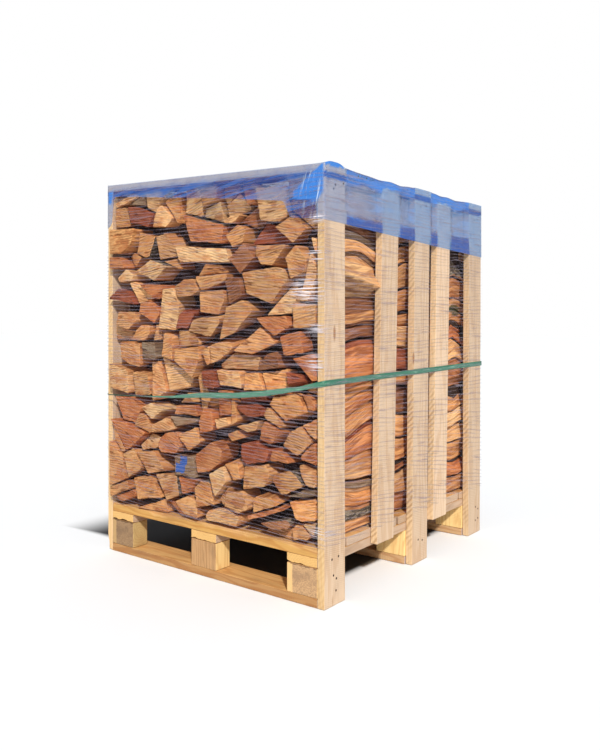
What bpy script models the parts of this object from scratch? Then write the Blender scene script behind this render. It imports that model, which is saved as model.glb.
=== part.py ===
# Pallet of firewood: a block pallet with a timber crate, filled with split logs,
# strapped, covered with a blue sheet and wound with stretch film.
# Metres, +Z up. The origin is the centre of the footprint, on the ground.
# The log ends face -Y, the front. The right side, with its five uprights, faces +X.

import math
import random

import bmesh
import bpy

# Gap between pieces that touch
GAP = 0.0003

# Pallet
PALLET_WIDTH = 0.800
PALLET_LENGTH = 1.000
BOTTOM_BOARD_THICKNESS = 0.024
BLOCK_HEIGHT = 0.079
STRINGER_THICKNESS = 0.026
DECK_THICKNESS = 0.025
BLOCK_WIDTH = 0.098
BLOCK_DEPTH = 0.062
BOTTOM_BOARD_WIDTH = 0.098
DECK_BOARDS = 7
DECK_GAP = 0.014
ROW_FRONTS = {"front": -0.500, "middle": -0.028, "back": 0.385}

# Crate
BOARD_THICKNESS = 0.022
POST_WIDTH = 0.100
SLAT_WIDTH = 0.096
POST_FRONTS = {"front": -0.500, "middle": -0.022, "back": 0.390}
POST_LEANS = {"front": 0.000, "middle": 0.022, "back": 0.010}
SLAT_FRONTS = {"front": -0.232, "back": 0.120}
SLAT_LEANS = {"front": 0.034, "back": 0.033}
SLAT_BOTTOM = 0.1095
SLAT_TOP = 1.120
RIGHT_POST_TOP = 1.130
LEFT_POST_TOP = 1.163
RAIL_HEIGHT = 0.108
RAIL_BELOW_POST_TOP = 0.014
RAIL_SET_BACK = 0.070

# Firewood
LOG_ROWS = {"front": (-0.500, -0.180), "middle": (-0.165, 0.165), "back": (0.180, 0.500)}
LOG_LAYERS = 16
LOGS_ACROSS = 10
STACK_HALF_WIDTH = 0.396
STACK_BELOW_TOP_BOARD = 0.006
LOG_SPACE = 0.0012
LOG_LEAST_AREA = 0.0009
LOG_REACH = 0.160
LOG_CLEARANCE = 0.008
LOG_SHAKE = 0.36
LOG_WEIGHTS = (0.0, 0.0009)
LOG_CORNERS = (3, 4, 4, 4, 5, 5)
LOG_KEPT_SHARE = 0.62
LOG_SLANT_DEG = 24
LOG_SET_IN = {1: (0.004, 0.022), -1: (0.0, 0.010)}
LOG_AT_SIDE = 0.004
LOG_RECESS = (0.003, 0.026)
LOG_END_RELIEF = 0.050
CORE_INSETS = {"side": 0.030, "bottom": 0.015, "top": 0.028}
CORE_BITE = 0.004
ROW_SEEDS = {"front": 11, "middle": 23, "back": 37}

# How far the log ends stand out past the posts, as shares across and up each face
LOG_BULGE = 0.020
BULGE_ACROSS = ((-0.4225, 0.0), (-0.3965, 1.0), (0.10, 1.0), (0.30, 0.6), (0.4225, 0.0))
BULGE_UP = ((0.158, 0.6), (0.25, 1.0), (0.93, 1.0), (1.005, 0.0))

# Logs that stand out on the front, as the corners of their ends in x and z
STANDING_OUT = (
    ((-0.380, 1.140), (-0.280, 1.150), (-0.260, 1.140), (-0.320, 1.120), (-0.365, 1.115)),
    ((-0.375, 1.110), (-0.325, 1.110), (-0.310, 1.045), (-0.385, 1.045)),
    ((-0.320, 1.110), (-0.265, 1.105), (-0.195, 1.075), (-0.220, 1.035), (-0.310, 1.060)),
    ((-0.395, 1.040), (-0.275, 1.035), (-0.290, 0.985), (-0.340, 0.955), (-0.395, 0.960)),
    ((-0.275, 1.025), (-0.200, 1.005), (-0.235, 0.945), (-0.255, 0.940), (-0.315, 0.965)),
    ((-0.115, 0.970), (0.095, 0.950), (0.105, 0.910), (-0.095, 0.920)),
    ((-0.090, 1.065), (0.080, 1.020), (0.070, 0.965), (-0.060, 0.980)),
    ((0.080, 0.990), (0.125, 1.020), (0.160, 1.005), (0.150, 0.965), (0.110, 0.950)),
    ((0.205, 1.075), (0.310, 1.065), (0.310, 1.025), (0.280, 1.010), (0.215, 1.020)),
    ((0.255, 1.000), (0.315, 1.030), (0.365, 0.990), (0.320, 0.950)),
    ((0.100, 0.920), (0.155, 0.965), (0.195, 0.920), (0.145, 0.875)),
    ((0.195, 0.955), (0.305, 0.950), (0.260, 0.895), (0.190, 0.900)),
    ((-0.280, 0.900), (-0.210, 0.935), (-0.135, 0.910), (-0.190, 0.865)),
    ((-0.355, 0.880), (-0.315, 0.910), (-0.280, 0.890), (-0.290, 0.870), (-0.345, 0.865)),
    ((-0.395, 0.950), (-0.345, 0.950), (-0.320, 0.910), (-0.395, 0.910)),
    ((0.095, 0.785), (0.155, 0.805), (0.195, 0.775), (0.130, 0.710), (0.075, 0.690)),
    ((0.150, 0.880), (0.285, 0.895), (0.310, 0.860), (0.250, 0.790), (0.165, 0.820)),
    ((0.280, 0.705), (0.345, 0.720), (0.360, 0.660), (0.295, 0.650)),
    ((0.320, 0.795), (0.385, 0.790), (0.375, 0.725), (0.320, 0.725)),
    ((0.120, 0.660), (0.215, 0.730), (0.270, 0.685), (0.190, 0.650)),
    ((0.040, 0.695), (0.125, 0.675), (0.110, 0.645), (0.040, 0.620)),
    ((0.055, 0.605), (0.150, 0.605), (0.155, 0.555), (0.065, 0.560)),
    ((0.160, 0.600), (0.210, 0.605), (0.235, 0.555), (0.160, 0.550)),
    ((0.235, 0.530), (0.355, 0.540), (0.360, 0.505), (0.300, 0.475)),
    ((-0.105, 0.340), (-0.025, 0.355), (-0.020, 0.295), (-0.090, 0.290)),
    ((-0.190, 0.360), (-0.140, 0.405), (-0.085, 0.405), (-0.075, 0.370), (-0.115, 0.320)),
    ((-0.295, 0.250), (-0.215, 0.270), (-0.160, 0.205), (-0.270, 0.185)),
    ((-0.270, 0.335), (-0.190, 0.350), (-0.140, 0.290), (-0.215, 0.270)),
    ((-0.330, 0.325), (-0.280, 0.350), (-0.250, 0.280), (-0.305, 0.250)),
    ((-0.190, 0.280), (-0.095, 0.295), (-0.085, 0.225), (-0.140, 0.200)),
    ((-0.390, 0.430), (-0.295, 0.420), (-0.225, 0.400), (-0.315, 0.330)),
    ((-0.250, 0.475), (-0.205, 0.495), (-0.140, 0.480), (-0.200, 0.440)),
    ((-0.095, 0.405), (-0.020, 0.435), (0.000, 0.390), (-0.045, 0.360)),
    ((0.115, 0.395), (0.220, 0.395), (0.245, 0.360), (0.160, 0.345)),
    ((0.280, 0.410), (0.355, 0.455), (0.385, 0.430), (0.330, 0.385)),
    ((0.150, 0.335), (0.240, 0.355), (0.245, 0.300), (0.155, 0.280)),
    ((0.245, 0.325), (0.325, 0.350), (0.360, 0.310), (0.280, 0.275)),
    ((0.300, 0.270), (0.380, 0.285), (0.392, 0.200)),
    ((0.090, 0.250), (0.150, 0.280), (0.155, 0.205), (0.090, 0.215)),
)

# Strap, sheet and film
STRAP_WIDTH = 0.0155
STRAP_THICKNESS = 0.0008
SHEET_THICKNESS = 0.0004
FILM_THICKNESS = 0.0004
FILM_CLEARANCE = 0.0007
FILM_SPARE = 0.0015
FILM_ABOVE_POST_TOP = 0.010

HALF_WIDTH = PALLET_WIDTH / 2
HALF_LENGTH = PALLET_LENGTH / 2
CRATE_HALF_WIDTH = HALF_WIDTH + GAP + BOARD_THICKNESS
BLOCK_BOTTOM = BOTTOM_BOARD_THICKNESS
STRINGER_BOTTOM = BLOCK_BOTTOM + BLOCK_HEIGHT
DECK_BOTTOM = STRINGER_BOTTOM + STRINGER_THICKNESS
DECK_TOP = DECK_BOTTOM + DECK_THICKNESS

# Strap height at points round the load, as x, y, z, from the near right corner
STRAP_SAG = ((0.346, 0.5665), (0.247, 0.5500), (0.140, 0.5360), (-0.012, 0.5255), (-0.224, 0.5144))
STRAP_CORNERS = {"front_right": 0.584, "back_right": 0.593, "back_left": 0.530, "front_left": 0.508}

# Lower edge of the blue sheet on each side: place along the side, and height
SHEET_FRONT_EDGE = ((-0.36, 1.147), (0.05, 1.098), (0.29, 1.067), (0.315, 1.020))
SHEET_CORNERS = {"front_right": 1.007, "back_right": 0.969, "back_left": 1.010, "front_left": 1.120}


def clear_scene():
    for thing in list(bpy.data.objects):
        bpy.data.objects.remove(thing, do_unlink=True)


def material(name, colour, roughness, alpha=1.0):
    made = bpy.data.materials.new(name)
    made.use_nodes = True
    shader = made.node_tree.nodes["Principled BSDF"]
    shader.inputs["Base Color"].default_value = (*colour, 1.0)
    shader.inputs["Roughness"].default_value = roughness
    shader.inputs["Metallic"].default_value = 0.0
    shader.inputs["Alpha"].default_value = alpha
    return made


def place(name, mesh_maker, finish):
    mesh = bpy.data.meshes.new(name)
    mesh_maker.to_mesh(mesh)
    mesh_maker.free()
    piece = bpy.data.objects.new(name, mesh)
    bpy.context.scene.collection.objects.link(piece)
    mesh.materials.append(finish)
    return piece


def top_board_underside(x):
    # The left posts are longer, so the top boards slope down to the right
    share = (x + CRATE_HALF_WIDTH) / (2 * CRATE_HALF_WIDTH)
    return LEFT_POST_TOP + (RIGHT_POST_TOP - LEFT_POST_TOP) * share


def box(low, high):
    made = bmesh.new()
    bmesh.ops.create_cube(made, size=1.0)
    for vert in made.verts:
        for axis in range(3):
            vert.co[axis] = low[axis] if vert.co[axis] < 0 else high[axis]
    return made


def upright(name, side, front, width, lean, bottom, top, finish):
    # An upright board on one side of the crate: its foot and head are sawn level,
    # and it leans towards the back by lean at its head
    inner = HALF_WIDTH + GAP
    edges = sorted((side * inner, side * (inner + BOARD_THICKNESS)))
    made = box((edges[0], front, bottom), (edges[1], front + width, bottom + 1))
    for vert in made.verts:
        if vert.co.z > bottom:
            vert.co.z = top(vert.co.x)
            vert.co.y += lean
    return place(name, made, finish)


def pallet(finishes):
    for row, front in ROW_FRONTS.items():
        low = (-HALF_WIDTH, front, 0.0)
        high = (HALF_WIDTH, front + BOTTOM_BOARD_WIDTH, BOTTOM_BOARD_THICKNESS - GAP)
        place(f"bottom_board_{row}", box(low, high), finishes["board"])
        for column, x in column_starts().items():
            low = (x, front, BLOCK_BOTTOM)
            high = (x + BLOCK_WIDTH, front + BLOCK_DEPTH, STRINGER_BOTTOM - GAP)
            place(f"block_{row}_{column}", box(low, high), finishes["block"])
    for column, x in column_starts().items():
        low = (x, -HALF_LENGTH, STRINGER_BOTTOM)
        high = (x + BLOCK_WIDTH, HALF_LENGTH, DECK_BOTTOM - GAP)
        place(f"stringer_{column}", box(low, high), finishes["board"])
    width = (PALLET_LENGTH - (DECK_BOARDS - 1) * DECK_GAP) / DECK_BOARDS
    for number in range(DECK_BOARDS):
        front = -HALF_LENGTH + number * (width + DECK_GAP)
        low = (-HALF_WIDTH, front, DECK_BOTTOM)
        high = (HALF_WIDTH, front + width, DECK_TOP)
        place(f"deck_board_{number + 1}", box(low, high), finishes["board"])


def column_starts():
    return {
        "left": -HALF_WIDTH,
        "middle": -BLOCK_WIDTH / 2,
        "right": HALF_WIDTH - BLOCK_WIDTH,
    }


def crate(finishes):
    for side, word in ((1, "right"), (-1, "left")):
        for row, front in POST_FRONTS.items():
            upright(
                f"post_{word}_{row}", side, front, POST_WIDTH, POST_LEANS[row], 0.0,
                lambda x: top_board_underside(x) - GAP, finishes["upright"],
            )
        rise = top_board_underside(side * HALF_WIDTH) - RIGHT_POST_TOP
        for row, front in SLAT_FRONTS.items():
            upright(
                f"slat_{word}_{row}", side, front, SLAT_WIDTH, SLAT_LEANS[row], SLAT_BOTTOM,
                lambda x: SLAT_TOP + rise, finishes["upright"],
            )
        rail_top = top_board_underside(side * HALF_WIDTH) - RAIL_BELOW_POST_TOP
        edges = sorted((side * (HALF_WIDTH - BOARD_THICKNESS), side * HALF_WIDTH))
        low = (edges[0], -HALF_LENGTH + RAIL_SET_BACK, rail_top - RAIL_HEIGHT)
        high = (edges[1], HALF_LENGTH - RAIL_SET_BACK, rail_top)
        place(f"top_rail_{word}", box(low, high), finishes["upright"])
    for row, front in POST_FRONTS.items():
        start = front + POST_LEANS[row]
        made = box((-CRATE_HALF_WIDTH, start, 0.0), (CRATE_HALF_WIDTH, start + POST_WIDTH, 1.0))
        for vert in made.verts:
            rise = BOARD_THICKNESS if vert.co.z > 0.5 else 0.0
            vert.co.z = top_board_underside(vert.co.x) + rise
        place(f"top_board_{row}", made, finishes["upright"])


def clip(outline, across, up, limit):
    # The part of a convex outline where across * x + up * z is at most limit
    kept = []
    for index, (x, z) in enumerate(outline):
        next_x, next_z = outline[(index + 1) % len(outline)]
        here = across * x + up * z - limit
        there = across * next_x + up * next_z - limit
        if here <= 0:
            kept.append((x, z))
        if here * there < 0:
            share = here / (here - there)
            kept.append((x + (next_x - x) * share, z + (next_z - z) * share))
    return kept


def area(outline):
    total = 0.0
    for index, (x, z) in enumerate(outline):
        next_x, next_z = outline[(index + 1) % len(outline)]
        total += x * next_z - next_x * z
    return total / 2


def middle(outline):
    count = len(outline)
    return sum(x for x, z in outline) / count, sum(z for x, z in outline) / count


def stack_limits(side=0.0, bottom=0.0, top=0.0):
    # Half-planes that hold the stack: deck, both sides and the sloping top boards,
    # each drawn in by its inset
    slope = (RIGHT_POST_TOP - LEFT_POST_TOP) / (2 * CRATE_HALF_WIDTH)
    ceiling = top_board_underside(0.0) - STACK_BELOW_TOP_BOARD
    return (
        (0.0, -1.0, -(DECK_TOP + 2 * GAP + bottom)),
        (1.0, 0.0, STACK_HALF_WIDTH - side),
        (-1.0, 0.0, STACK_HALF_WIDTH - side),
        (-slope, 1.0, ceiling - top),
    )


def core_share(outline, bite):
    # The part of an outline that lies in the core of the stack, at least bite deep
    for across, up, limit in stack_limits(**CORE_INSETS):
        outline = clip(outline, across, up, limit - bite)
    return outline if len(outline) > 2 else []


def counter_clockwise(corners):
    turn = sum(
        x * corners[(index + 1) % len(corners)][1] - corners[(index + 1) % len(corners)][0] * z
        for index, (x, z) in enumerate(corners)
    )
    return list(corners) if turn > 0 else list(reversed(corners))


def within(outline, x, z, margin):
    # True if a point is inside a convex outline, or nearer to it than margin
    for index, (x_a, z_a) in enumerate(outline):
        x_b, z_b = outline[(index + 1) % len(outline)]
        run = x_b - x_a
        rise = z_b - z_a
        out = (rise * (x - x_a) - run * (z - z_a)) / math.hypot(run, rise)
        if out > margin:
            return False
    return True


def clear_of(outline, other):
    # Saws one log along the edge of another that costs it least
    best = []
    for index, (x_a, z_a) in enumerate(other):
        x_b, z_b = other[(index + 1) % len(other)]
        length = math.hypot(x_b - x_a, z_b - z_a)
        across = -(z_b - z_a) / length
        up = (x_b - x_a) / length
        kept = clip(outline, across, up, across * x_a + up * z_a - 2 * LOG_SPACE)
        if len(kept) > 2 and (not best or area(kept) > area(best)):
            best = kept
    return best


def standing_out(row):
    outlines = []
    for corners in STANDING_OUT if row == "front" else ():
        outline = counter_clockwise(corners)
        for across, up, limit in stack_limits():
            outline = clip(outline, across, up, limit - LOG_SPACE * math.hypot(across, up))
        for other in outlines:
            outline = clear_of(outline, other)
        outlines.append(outline)
    return outlines


def seeds(chance, taken):
    # Log centres in staggered layers, shaken, so that no two logs are alike
    found = []
    for number in range(LOG_LAYERS):
        count = LOGS_ACROSS + number % 2
        pitch = 2 * STACK_HALF_WIDTH / count
        for place_number in range(count):
            across = place_number + 0.5 + chance.uniform(-LOG_SHAKE, LOG_SHAKE)
            x = -STACK_HALF_WIDTH + across * pitch
            layer = (top_board_underside(x) - DECK_TOP) / LOG_LAYERS
            z = DECK_TOP + (number + 0.5 + chance.uniform(-LOG_SHAKE, LOG_SHAKE)) * layer
            weight = chance.uniform(*LOG_WEIGHTS)
            if not any(within(outline, x, z, LOG_CLEARANCE) for outline in taken):
                found.append((x, z, weight))
    return found


def cell(seed, others, taken, space):
    # The share of the end face that is nearer to this log than to any other
    x, z, weight = seed
    reach = LOG_REACH
    corners = ((-reach, -reach), (reach, -reach), (reach, reach), (-reach, reach))
    outline = [(x + across, z + up) for across, up in corners]
    for across, up, limit in stack_limits():
        outline = clip(outline, across, up, limit - space * math.hypot(across, up))
    for other_x, other_z, other_weight in others:
        run = other_x - x
        rise = other_z - z
        if abs(run) > 2 * reach or abs(rise) > 2 * reach or (run == 0 and rise == 0):
            continue
        limit = (other_x**2 + other_z**2 - x**2 - z**2 + weight - other_weight) / 2
        outline = clip(outline, run, rise, limit - space * math.hypot(run, rise))
        if len(outline) < 3:
            return []
    for other in taken:
        outline = clear_of(outline, other)
        if len(outline) < 3:
            return []
    return outline


def rail_side(outline):
    # The side, 1 or -1, on which a log would meet the top rail, or 0
    for side in (1, -1):
        rail_bottom = top_board_underside(side * HALF_WIDTH) - RAIL_BELOW_POST_TOP - RAIL_HEIGHT
        inner = HALF_WIDTH - BOARD_THICKNESS - LOG_SPACE
        beyond = clip(outline, -side, 0.0, -inner)
        if len(beyond) > 2 and any(z > rail_bottom - LOG_SPACE for x, z in beyond):
            return side
    return 0


def beside_rails(outline):
    # Keeps a log clear of the top rail on each side: beside it or below it
    side = rail_side(outline)
    if side:
        rail_bottom = top_board_underside(side * HALF_WIDTH) - RAIL_BELOW_POST_TOP - RAIL_HEIGHT
        inner = HALF_WIDTH - BOARD_THICKNESS - LOG_SPACE
        beside = clip(outline, side, 0.0, inner)
        below = clip(outline, 0.0, 1.0, rail_bottom - LOG_SPACE)
        outline = max(beside, below, key=lambda kept: area(kept) if len(kept) > 2 else 0.0)
    return outline


def roughened(outline, chance):
    # Outer logs have no flat outer face: each is cut back at its own slant,
    # further on the right side, 1, than on the left, -1
    turn = math.radians(chance.uniform(-LOG_SLANT_DEG, LOG_SLANT_DEG))
    share = chance.random()
    for side, (least, most) in LOG_SET_IN.items():
        reach = max(side * x for x, z in outline)
        if reach < STACK_HALF_WIDTH - LOG_AT_SIDE:
            continue
        back = least + (most - least) * share
        centre = middle(outline)[1]
        across = side * math.cos(turn)
        up = math.sin(turn)
        outline = clip(outline, across, up, across * side * (reach - back) + up * centre)
    return outline


def split(outline, corners):
    # Drops the corners whose loss costs least, down to the number that a split log has
    outline = list(outline)
    while len(outline) > corners:
        def cost(index):
            return area([outline[index - 1], outline[index], outline[(index + 1) % len(outline)]])
        outline.pop(min(range(len(outline)), key=cost))
    return outline


def log_outlines(row):
    # The cross-section of every log of one row, as corners in x and z
    chance = random.Random(ROW_SEEDS[row])
    outlines = standing_out(row)
    taken = list(outlines)
    centres = seeds(chance, taken)
    relaxed = []
    for seed in centres:
        outline = cell(seed, centres, taken, 0.0)
        if len(outline) > 2:
            x, z = middle(outline)
            relaxed.append((x, z, seed[2]))
    for seed in relaxed:
        corners = chance.choice(LOG_CORNERS)
        outline = cell(seed, relaxed, taken, LOG_SPACE)
        if len(outline) < 3:
            continue
        outline = roughened(outline, chance)
        if row == "middle" and len(outline) > 2:
            outline = beside_rails(outline)
        if len(outline) < 3 or area(outline) < LOG_LEAST_AREA:
            continue
        fewer = split(outline, corners)
        if area(fewer) < LOG_KEPT_SHARE * area(outline):
            fewer = split(outline, corners + 1)
        outlines.append(fewer)
    return outlines


def between(known, place):
    # Straight-line interpolation in a list of places and values
    for (place_a, value_a), (place_b, value_b) in zip(known, known[1:]):
        if place_a <= place <= place_b:
            return value_a + (value_b - value_a) * (place - place_a) / (place_b - place_a)
    return known[0][1] if place < known[0][0] else known[-1][1]


def bulge(x, z):
    return between(BULGE_ACROSS, x) * between(BULGE_UP, z)


def prism(made, outline, start, end):
    face = made.faces.new([made.verts.new((x, start, z)) for x, z in outline])
    extruded = bmesh.ops.extrude_face_region(made, geom=[face])
    moved = [item for item in extruded["geom"] if isinstance(item, bmesh.types.BMVert)]
    bmesh.ops.translate(made, verts=moved, vec=(0.0, end - start, 0.0))


def log_extent(row, outline, chance):
    # Where one log starts and stops, front to back
    front, back = LOG_ROWS[row]
    stands = min(bulge(x, z) for x, z in outline)
    starts = front + chance.uniform(*LOG_RECESS)
    stops = back - chance.uniform(*LOG_RECESS)
    if row == "front":
        starts -= LOG_BULGE * stands
        if rail_side(outline):
            stops = -HALF_LENGTH + RAIL_SET_BACK - LOG_SPACE
    if row == "back":
        stops += LOG_BULGE * stands
        if rail_side(outline):
            starts = HALF_LENGTH - RAIL_SET_BACK + LOG_SPACE
    return starts, stops


def firewood_row(row, finish):
    # A closed stack: a core, the outer logs whole, and the inner logs as ends in relief
    front, back = LOG_ROWS[row]
    chance = random.Random(ROW_SEEDS[row] + 100)
    inner_end = LOG_RECESS[1] + CORE_BITE
    core_front = front + (LOG_END_RELIEF if row == "front" else inner_end)
    core_back = back - (LOG_END_RELIEF if row == "back" else inner_end)
    logs = bmesh.new()
    for outline in log_outlines(row):
        starts, stops = log_extent(row, outline, chance)
        buried = core_share(outline, CORE_BITE)
        if not buried:
            continue
        if area(core_share(outline, 0.0)) < 0.999 * area(outline):
            prism(logs, outline, starts, stops)
        elif row == "front":
            prism(logs, outline, starts, core_front + CORE_BITE)
        elif row == "back":
            prism(logs, outline, core_back - CORE_BITE, stops)
    bmesh.ops.recalc_face_normals(logs, faces=logs.faces)
    ends = place(f"log_ends_{row}", logs, finish)
    ends.hide_render = True
    ends.display_type = "WIRE"
    core = bmesh.new()
    prism(core, core_share([(-1, -1), (1, -1), (1, 2), (-1, 2)], 0.0), core_front, core_back)
    bmesh.ops.recalc_face_normals(core, faces=core.faces)
    stack = place(f"firewood_row_{row}", core, finish)
    union = stack.modifiers.new("logs", "BOOLEAN")
    union.operation = "UNION"
    union.solver = "EXACT"
    union.object = ends
    return stack


def ring_path(offset, bulge_places):
    # A loop round the crate, anticlockwise from the front right, with points where
    # the log ends bulge. Each point says what it faces: 1 the front, -1 the back, 0 neither
    half_x = CRATE_HALF_WIDTH + offset
    half_y = HALF_LENGTH + offset
    points = [(half_x, -half_y, 0), (half_x, half_y, 0)]
    points += [(x, half_y, -1) for x in sorted(bulge_places, reverse=True)]
    points += [(-half_x, half_y, 0), (-half_x, -half_y, 0)]
    points += [(x, -half_y, 1) for x in sorted(bulge_places)]
    return points


def bulged(point, z, spare):
    # The loop's point at height z, pushed out by the log ends and spare more
    x, y, facing = point
    return (x, y - facing * (LOG_BULGE + spare) * bulge(x, z), z)


def strap_height(x, y):
    corners = STRAP_CORNERS
    if y < -HALF_LENGTH and abs(x) < CRATE_HALF_WIDTH:
        known = [(-CRATE_HALF_WIDTH, corners["front_left"]), *reversed(STRAP_SAG)]
        known.append((CRATE_HALF_WIDTH, corners["front_right"]))
        return between(known, x)
    along = (y + HALF_LENGTH) / PALLET_LENGTH
    across = (x + CRATE_HALF_WIDTH) / (2 * CRATE_HALF_WIDTH)
    left = corners["front_left"] + (corners["back_left"] - corners["front_left"]) * along
    right = corners["front_right"] + (corners["back_right"] - corners["front_right"]) * along
    return left + (right - left) * across


def band(name, rings, finish):
    # A closed hoop: each ring is the band's section at one place of the path
    made = bmesh.new()
    loops = [[made.verts.new(point) for point in ring] for ring in rings]
    for index, loop in enumerate(loops):
        following = loops[(index + 1) % len(loops)]
        for corner in range(len(loop)):
            beside = (corner + 1) % len(loop)
            made.faces.new((loop[corner], following[corner], following[beside], loop[beside]))
    bmesh.ops.recalc_face_normals(made, faces=made.faces)
    return place(name, made, finish)


def strap(finish):
    places = sorted([x for x, share in BULGE_ACROSS[1:-1]] + [x for x, z in STRAP_SAG])
    rings = []
    inner_path = ring_path(GAP, places)
    outer_path = ring_path(GAP + STRAP_THICKNESS, places)
    for inner, outer in zip(inner_path, outer_path):
        centre = strap_height(inner[0], inner[1])
        low = centre - STRAP_WIDTH / 2
        high = centre + STRAP_WIDTH / 2
        section = ((inner, low), (outer, low), (outer, high), (inner, high))
        rings.append([bulged(point, z, 0.0) for point, z in section])
    band("green_strap", rings, finish)


def thicken(piece, thickness):
    # Gives a surface its wall, outwards, keeping the triangles of both faces alike
    wall = piece.modifiers.new("wall", "SOLIDIFY")
    wall.thickness = thickness
    wall.offset = 1.0
    wall.use_even_offset = True
    return piece


def stretch_film(finish):
    # One thickness of film wound round the load, open above and below
    offset = GAP + STRAP_THICKNESS + FILM_CLEARANCE
    places = [x for x, share in BULGE_ACROSS[1:-1]]
    made = bmesh.new()
    columns = []
    for point in ring_path(offset, places):
        top = top_board_underside(point[0]) + FILM_ABOVE_POST_TOP
        levels = [z for z, share in BULGE_UP] + [top]
        columns.append([made.verts.new(bulged(point, z, FILM_SPARE)) for z in levels])
    for column, following in zip(columns, columns[1:] + columns[:1]):
        for low in range(len(column) - 1):
            high = low + 1
            made.faces.new((column[low], following[low], following[high], column[high]))
    bmesh.ops.triangulate(made, faces=made.faces)
    thicken(place("stretch_film", made, finish), FILM_THICKNESS)


def cover_sheet(finish):
    # A sheet over the top boards whose four skirts hang outside the crate
    half_x = CRATE_HALF_WIDTH + GAP
    half_y = HALF_LENGTH + GAP
    corners = SHEET_CORNERS
    edge = [(half_x, -half_y, corners["front_right"]), (half_x, half_y, corners["back_right"])]
    edge += [(-half_x, half_y, corners["back_left"]), (-half_x, -half_y, corners["front_left"])]
    edge += [(x, -half_y, z) for x, z in SHEET_FRONT_EDGE]
    made = bmesh.new()
    hem = [made.verts.new(point) for point in edge]
    rim = [made.verts.new((x, y, top_board_underside(x) + BOARD_THICKNESS + GAP)) for x, y, z in edge]
    for index in range(len(edge)):
        following = (index + 1) % len(edge)
        made.faces.new((hem[index], hem[following], rim[following], rim[index]))
    made.faces.new(rim)
    bmesh.ops.recalc_face_normals(made, faces=made.faces)
    if sum(face.normal.z for face in made.faces if len(face.verts) > 4) < 0:
        bmesh.ops.reverse_faces(made, faces=made.faces)
    thicken(place("blue_cover", made, finish), SHEET_THICKNESS)


def main():
    clear_scene()
    finishes = {
        "board": material("pallet_board", (0.62, 0.40, 0.20), 0.75),
        "block": material("pallet_block", (0.52, 0.38, 0.24), 0.85),
        "upright": material("crate_board", (0.78, 0.63, 0.44), 0.7),
        "log": material("firewood", (0.50, 0.27, 0.13), 0.8),
        "strap": material("strap", (0.04, 0.22, 0.12), 0.4),
        "sheet": material("blue_sheet", (0.05, 0.20, 0.70), 0.25, alpha=0.45),
        "film": material("clear_film", (0.80, 0.82, 0.88), 0.15, alpha=0.15),
    }
    pallet(finishes)
    crate(finishes)
    for row in LOG_ROWS:
        firewood_row(row, finishes["log"])
    strap(finishes["strap"])
    cover_sheet(finishes["sheet"])
    stretch_film(finishes["film"])


main()
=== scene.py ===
# The looks of a pallet of firewood: split logs in a timber crate on a block pallet,
# strapped, covered with a thin blue sheet and wound with clear stretch film.
# Metres, +Z up. The log ends face -Y, and the side with the visible uprights faces +X.

import math
import random

import bmesh
import bpy
from mathutils import Matrix, Vector, noise


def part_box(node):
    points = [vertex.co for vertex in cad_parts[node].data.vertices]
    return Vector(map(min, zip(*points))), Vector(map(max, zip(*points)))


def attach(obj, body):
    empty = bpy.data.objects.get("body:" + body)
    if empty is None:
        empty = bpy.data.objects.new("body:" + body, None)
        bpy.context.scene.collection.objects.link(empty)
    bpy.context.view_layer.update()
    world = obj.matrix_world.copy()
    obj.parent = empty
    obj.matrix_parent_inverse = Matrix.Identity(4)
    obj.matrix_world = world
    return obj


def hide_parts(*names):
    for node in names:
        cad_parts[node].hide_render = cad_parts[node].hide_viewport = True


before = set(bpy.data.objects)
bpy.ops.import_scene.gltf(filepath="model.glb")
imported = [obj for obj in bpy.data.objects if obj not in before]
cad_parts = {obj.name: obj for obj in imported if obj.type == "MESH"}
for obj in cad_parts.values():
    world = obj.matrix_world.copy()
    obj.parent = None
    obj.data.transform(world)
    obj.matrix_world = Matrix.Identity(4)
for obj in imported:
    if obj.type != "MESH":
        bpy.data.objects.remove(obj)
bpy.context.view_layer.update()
print("stage: frame loaded")


# Small helpers for colours and shader nodes

def paint(red, green, blue):
    # A colour read off a screen as 0 to 255, in Blender's linear values
    def linear(value):
        share = value / 255
        return share / 12.92 if share <= 0.04045 else ((share + 0.055) / 1.055) ** 2.4
    return (linear(red), linear(green), linear(blue), 1.0)


def fill(node, socket, value):
    # A link for another node's output, or a plain value
    if isinstance(value, bpy.types.NodeSocket):
        node.id_data.links.new(value, node.inputs[socket])
    else:
        node.inputs[socket].default_value = value


def addNode(tree, kind, inputs=None, **settings):
    made = tree.nodes.new(kind)
    for name, value in settings.items():
        setattr(made, name, value)
    for socket, value in (inputs or {}).items():
        fill(made, socket, value)
    return made


def newFinish(name):
    finish = bpy.data.materials.new(name)
    finish.use_nodes = True
    return finish, finish.node_tree, finish.node_tree.nodes["Principled BSDF"]


def link(source, shader, socket):
    shader.id_data.links.new(source, shader.inputs[socket])


def joined(kind, output, inputs, **settings):
    # The output of a new node in the tree that its inputs come from
    sockets = [value for value in inputs.values() if isinstance(value, bpy.types.NodeSocket)]
    return addNode(sockets[0].id_data, kind, inputs, **settings).outputs[output]


def attribute(tree, name, output="Vector"):
    return addNode(tree, "ShaderNodeAttribute", attribute_name=name).outputs[output]


def objectPlace(tree):
    return addNode(tree, "ShaderNodeTexCoord").outputs["Object"]


def calc(work, first, second=0.0):
    return joined("ShaderNodeMath", 0, {0: first, 1: second}, operation=work)


def times(first, second):
    return calc("MULTIPLY", first, second)


def plus(first, second):
    return calc("ADD", first, second)


def minus(first, second):
    return calc("SUBTRACT", first, second)


def larger(first, second):
    return calc("MAXIMUM", first, second)


def smaller(first, second):
    return calc("MINIMUM", first, second)


def vector(work, first, second, output=0):
    inputs = {0: first} if second is None else {0: first, 1: second}
    return joined("ShaderNodeVectorMath", output, inputs, operation=work)


def scaled(place, factors):
    return vector("MULTIPLY", place, factors)


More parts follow.
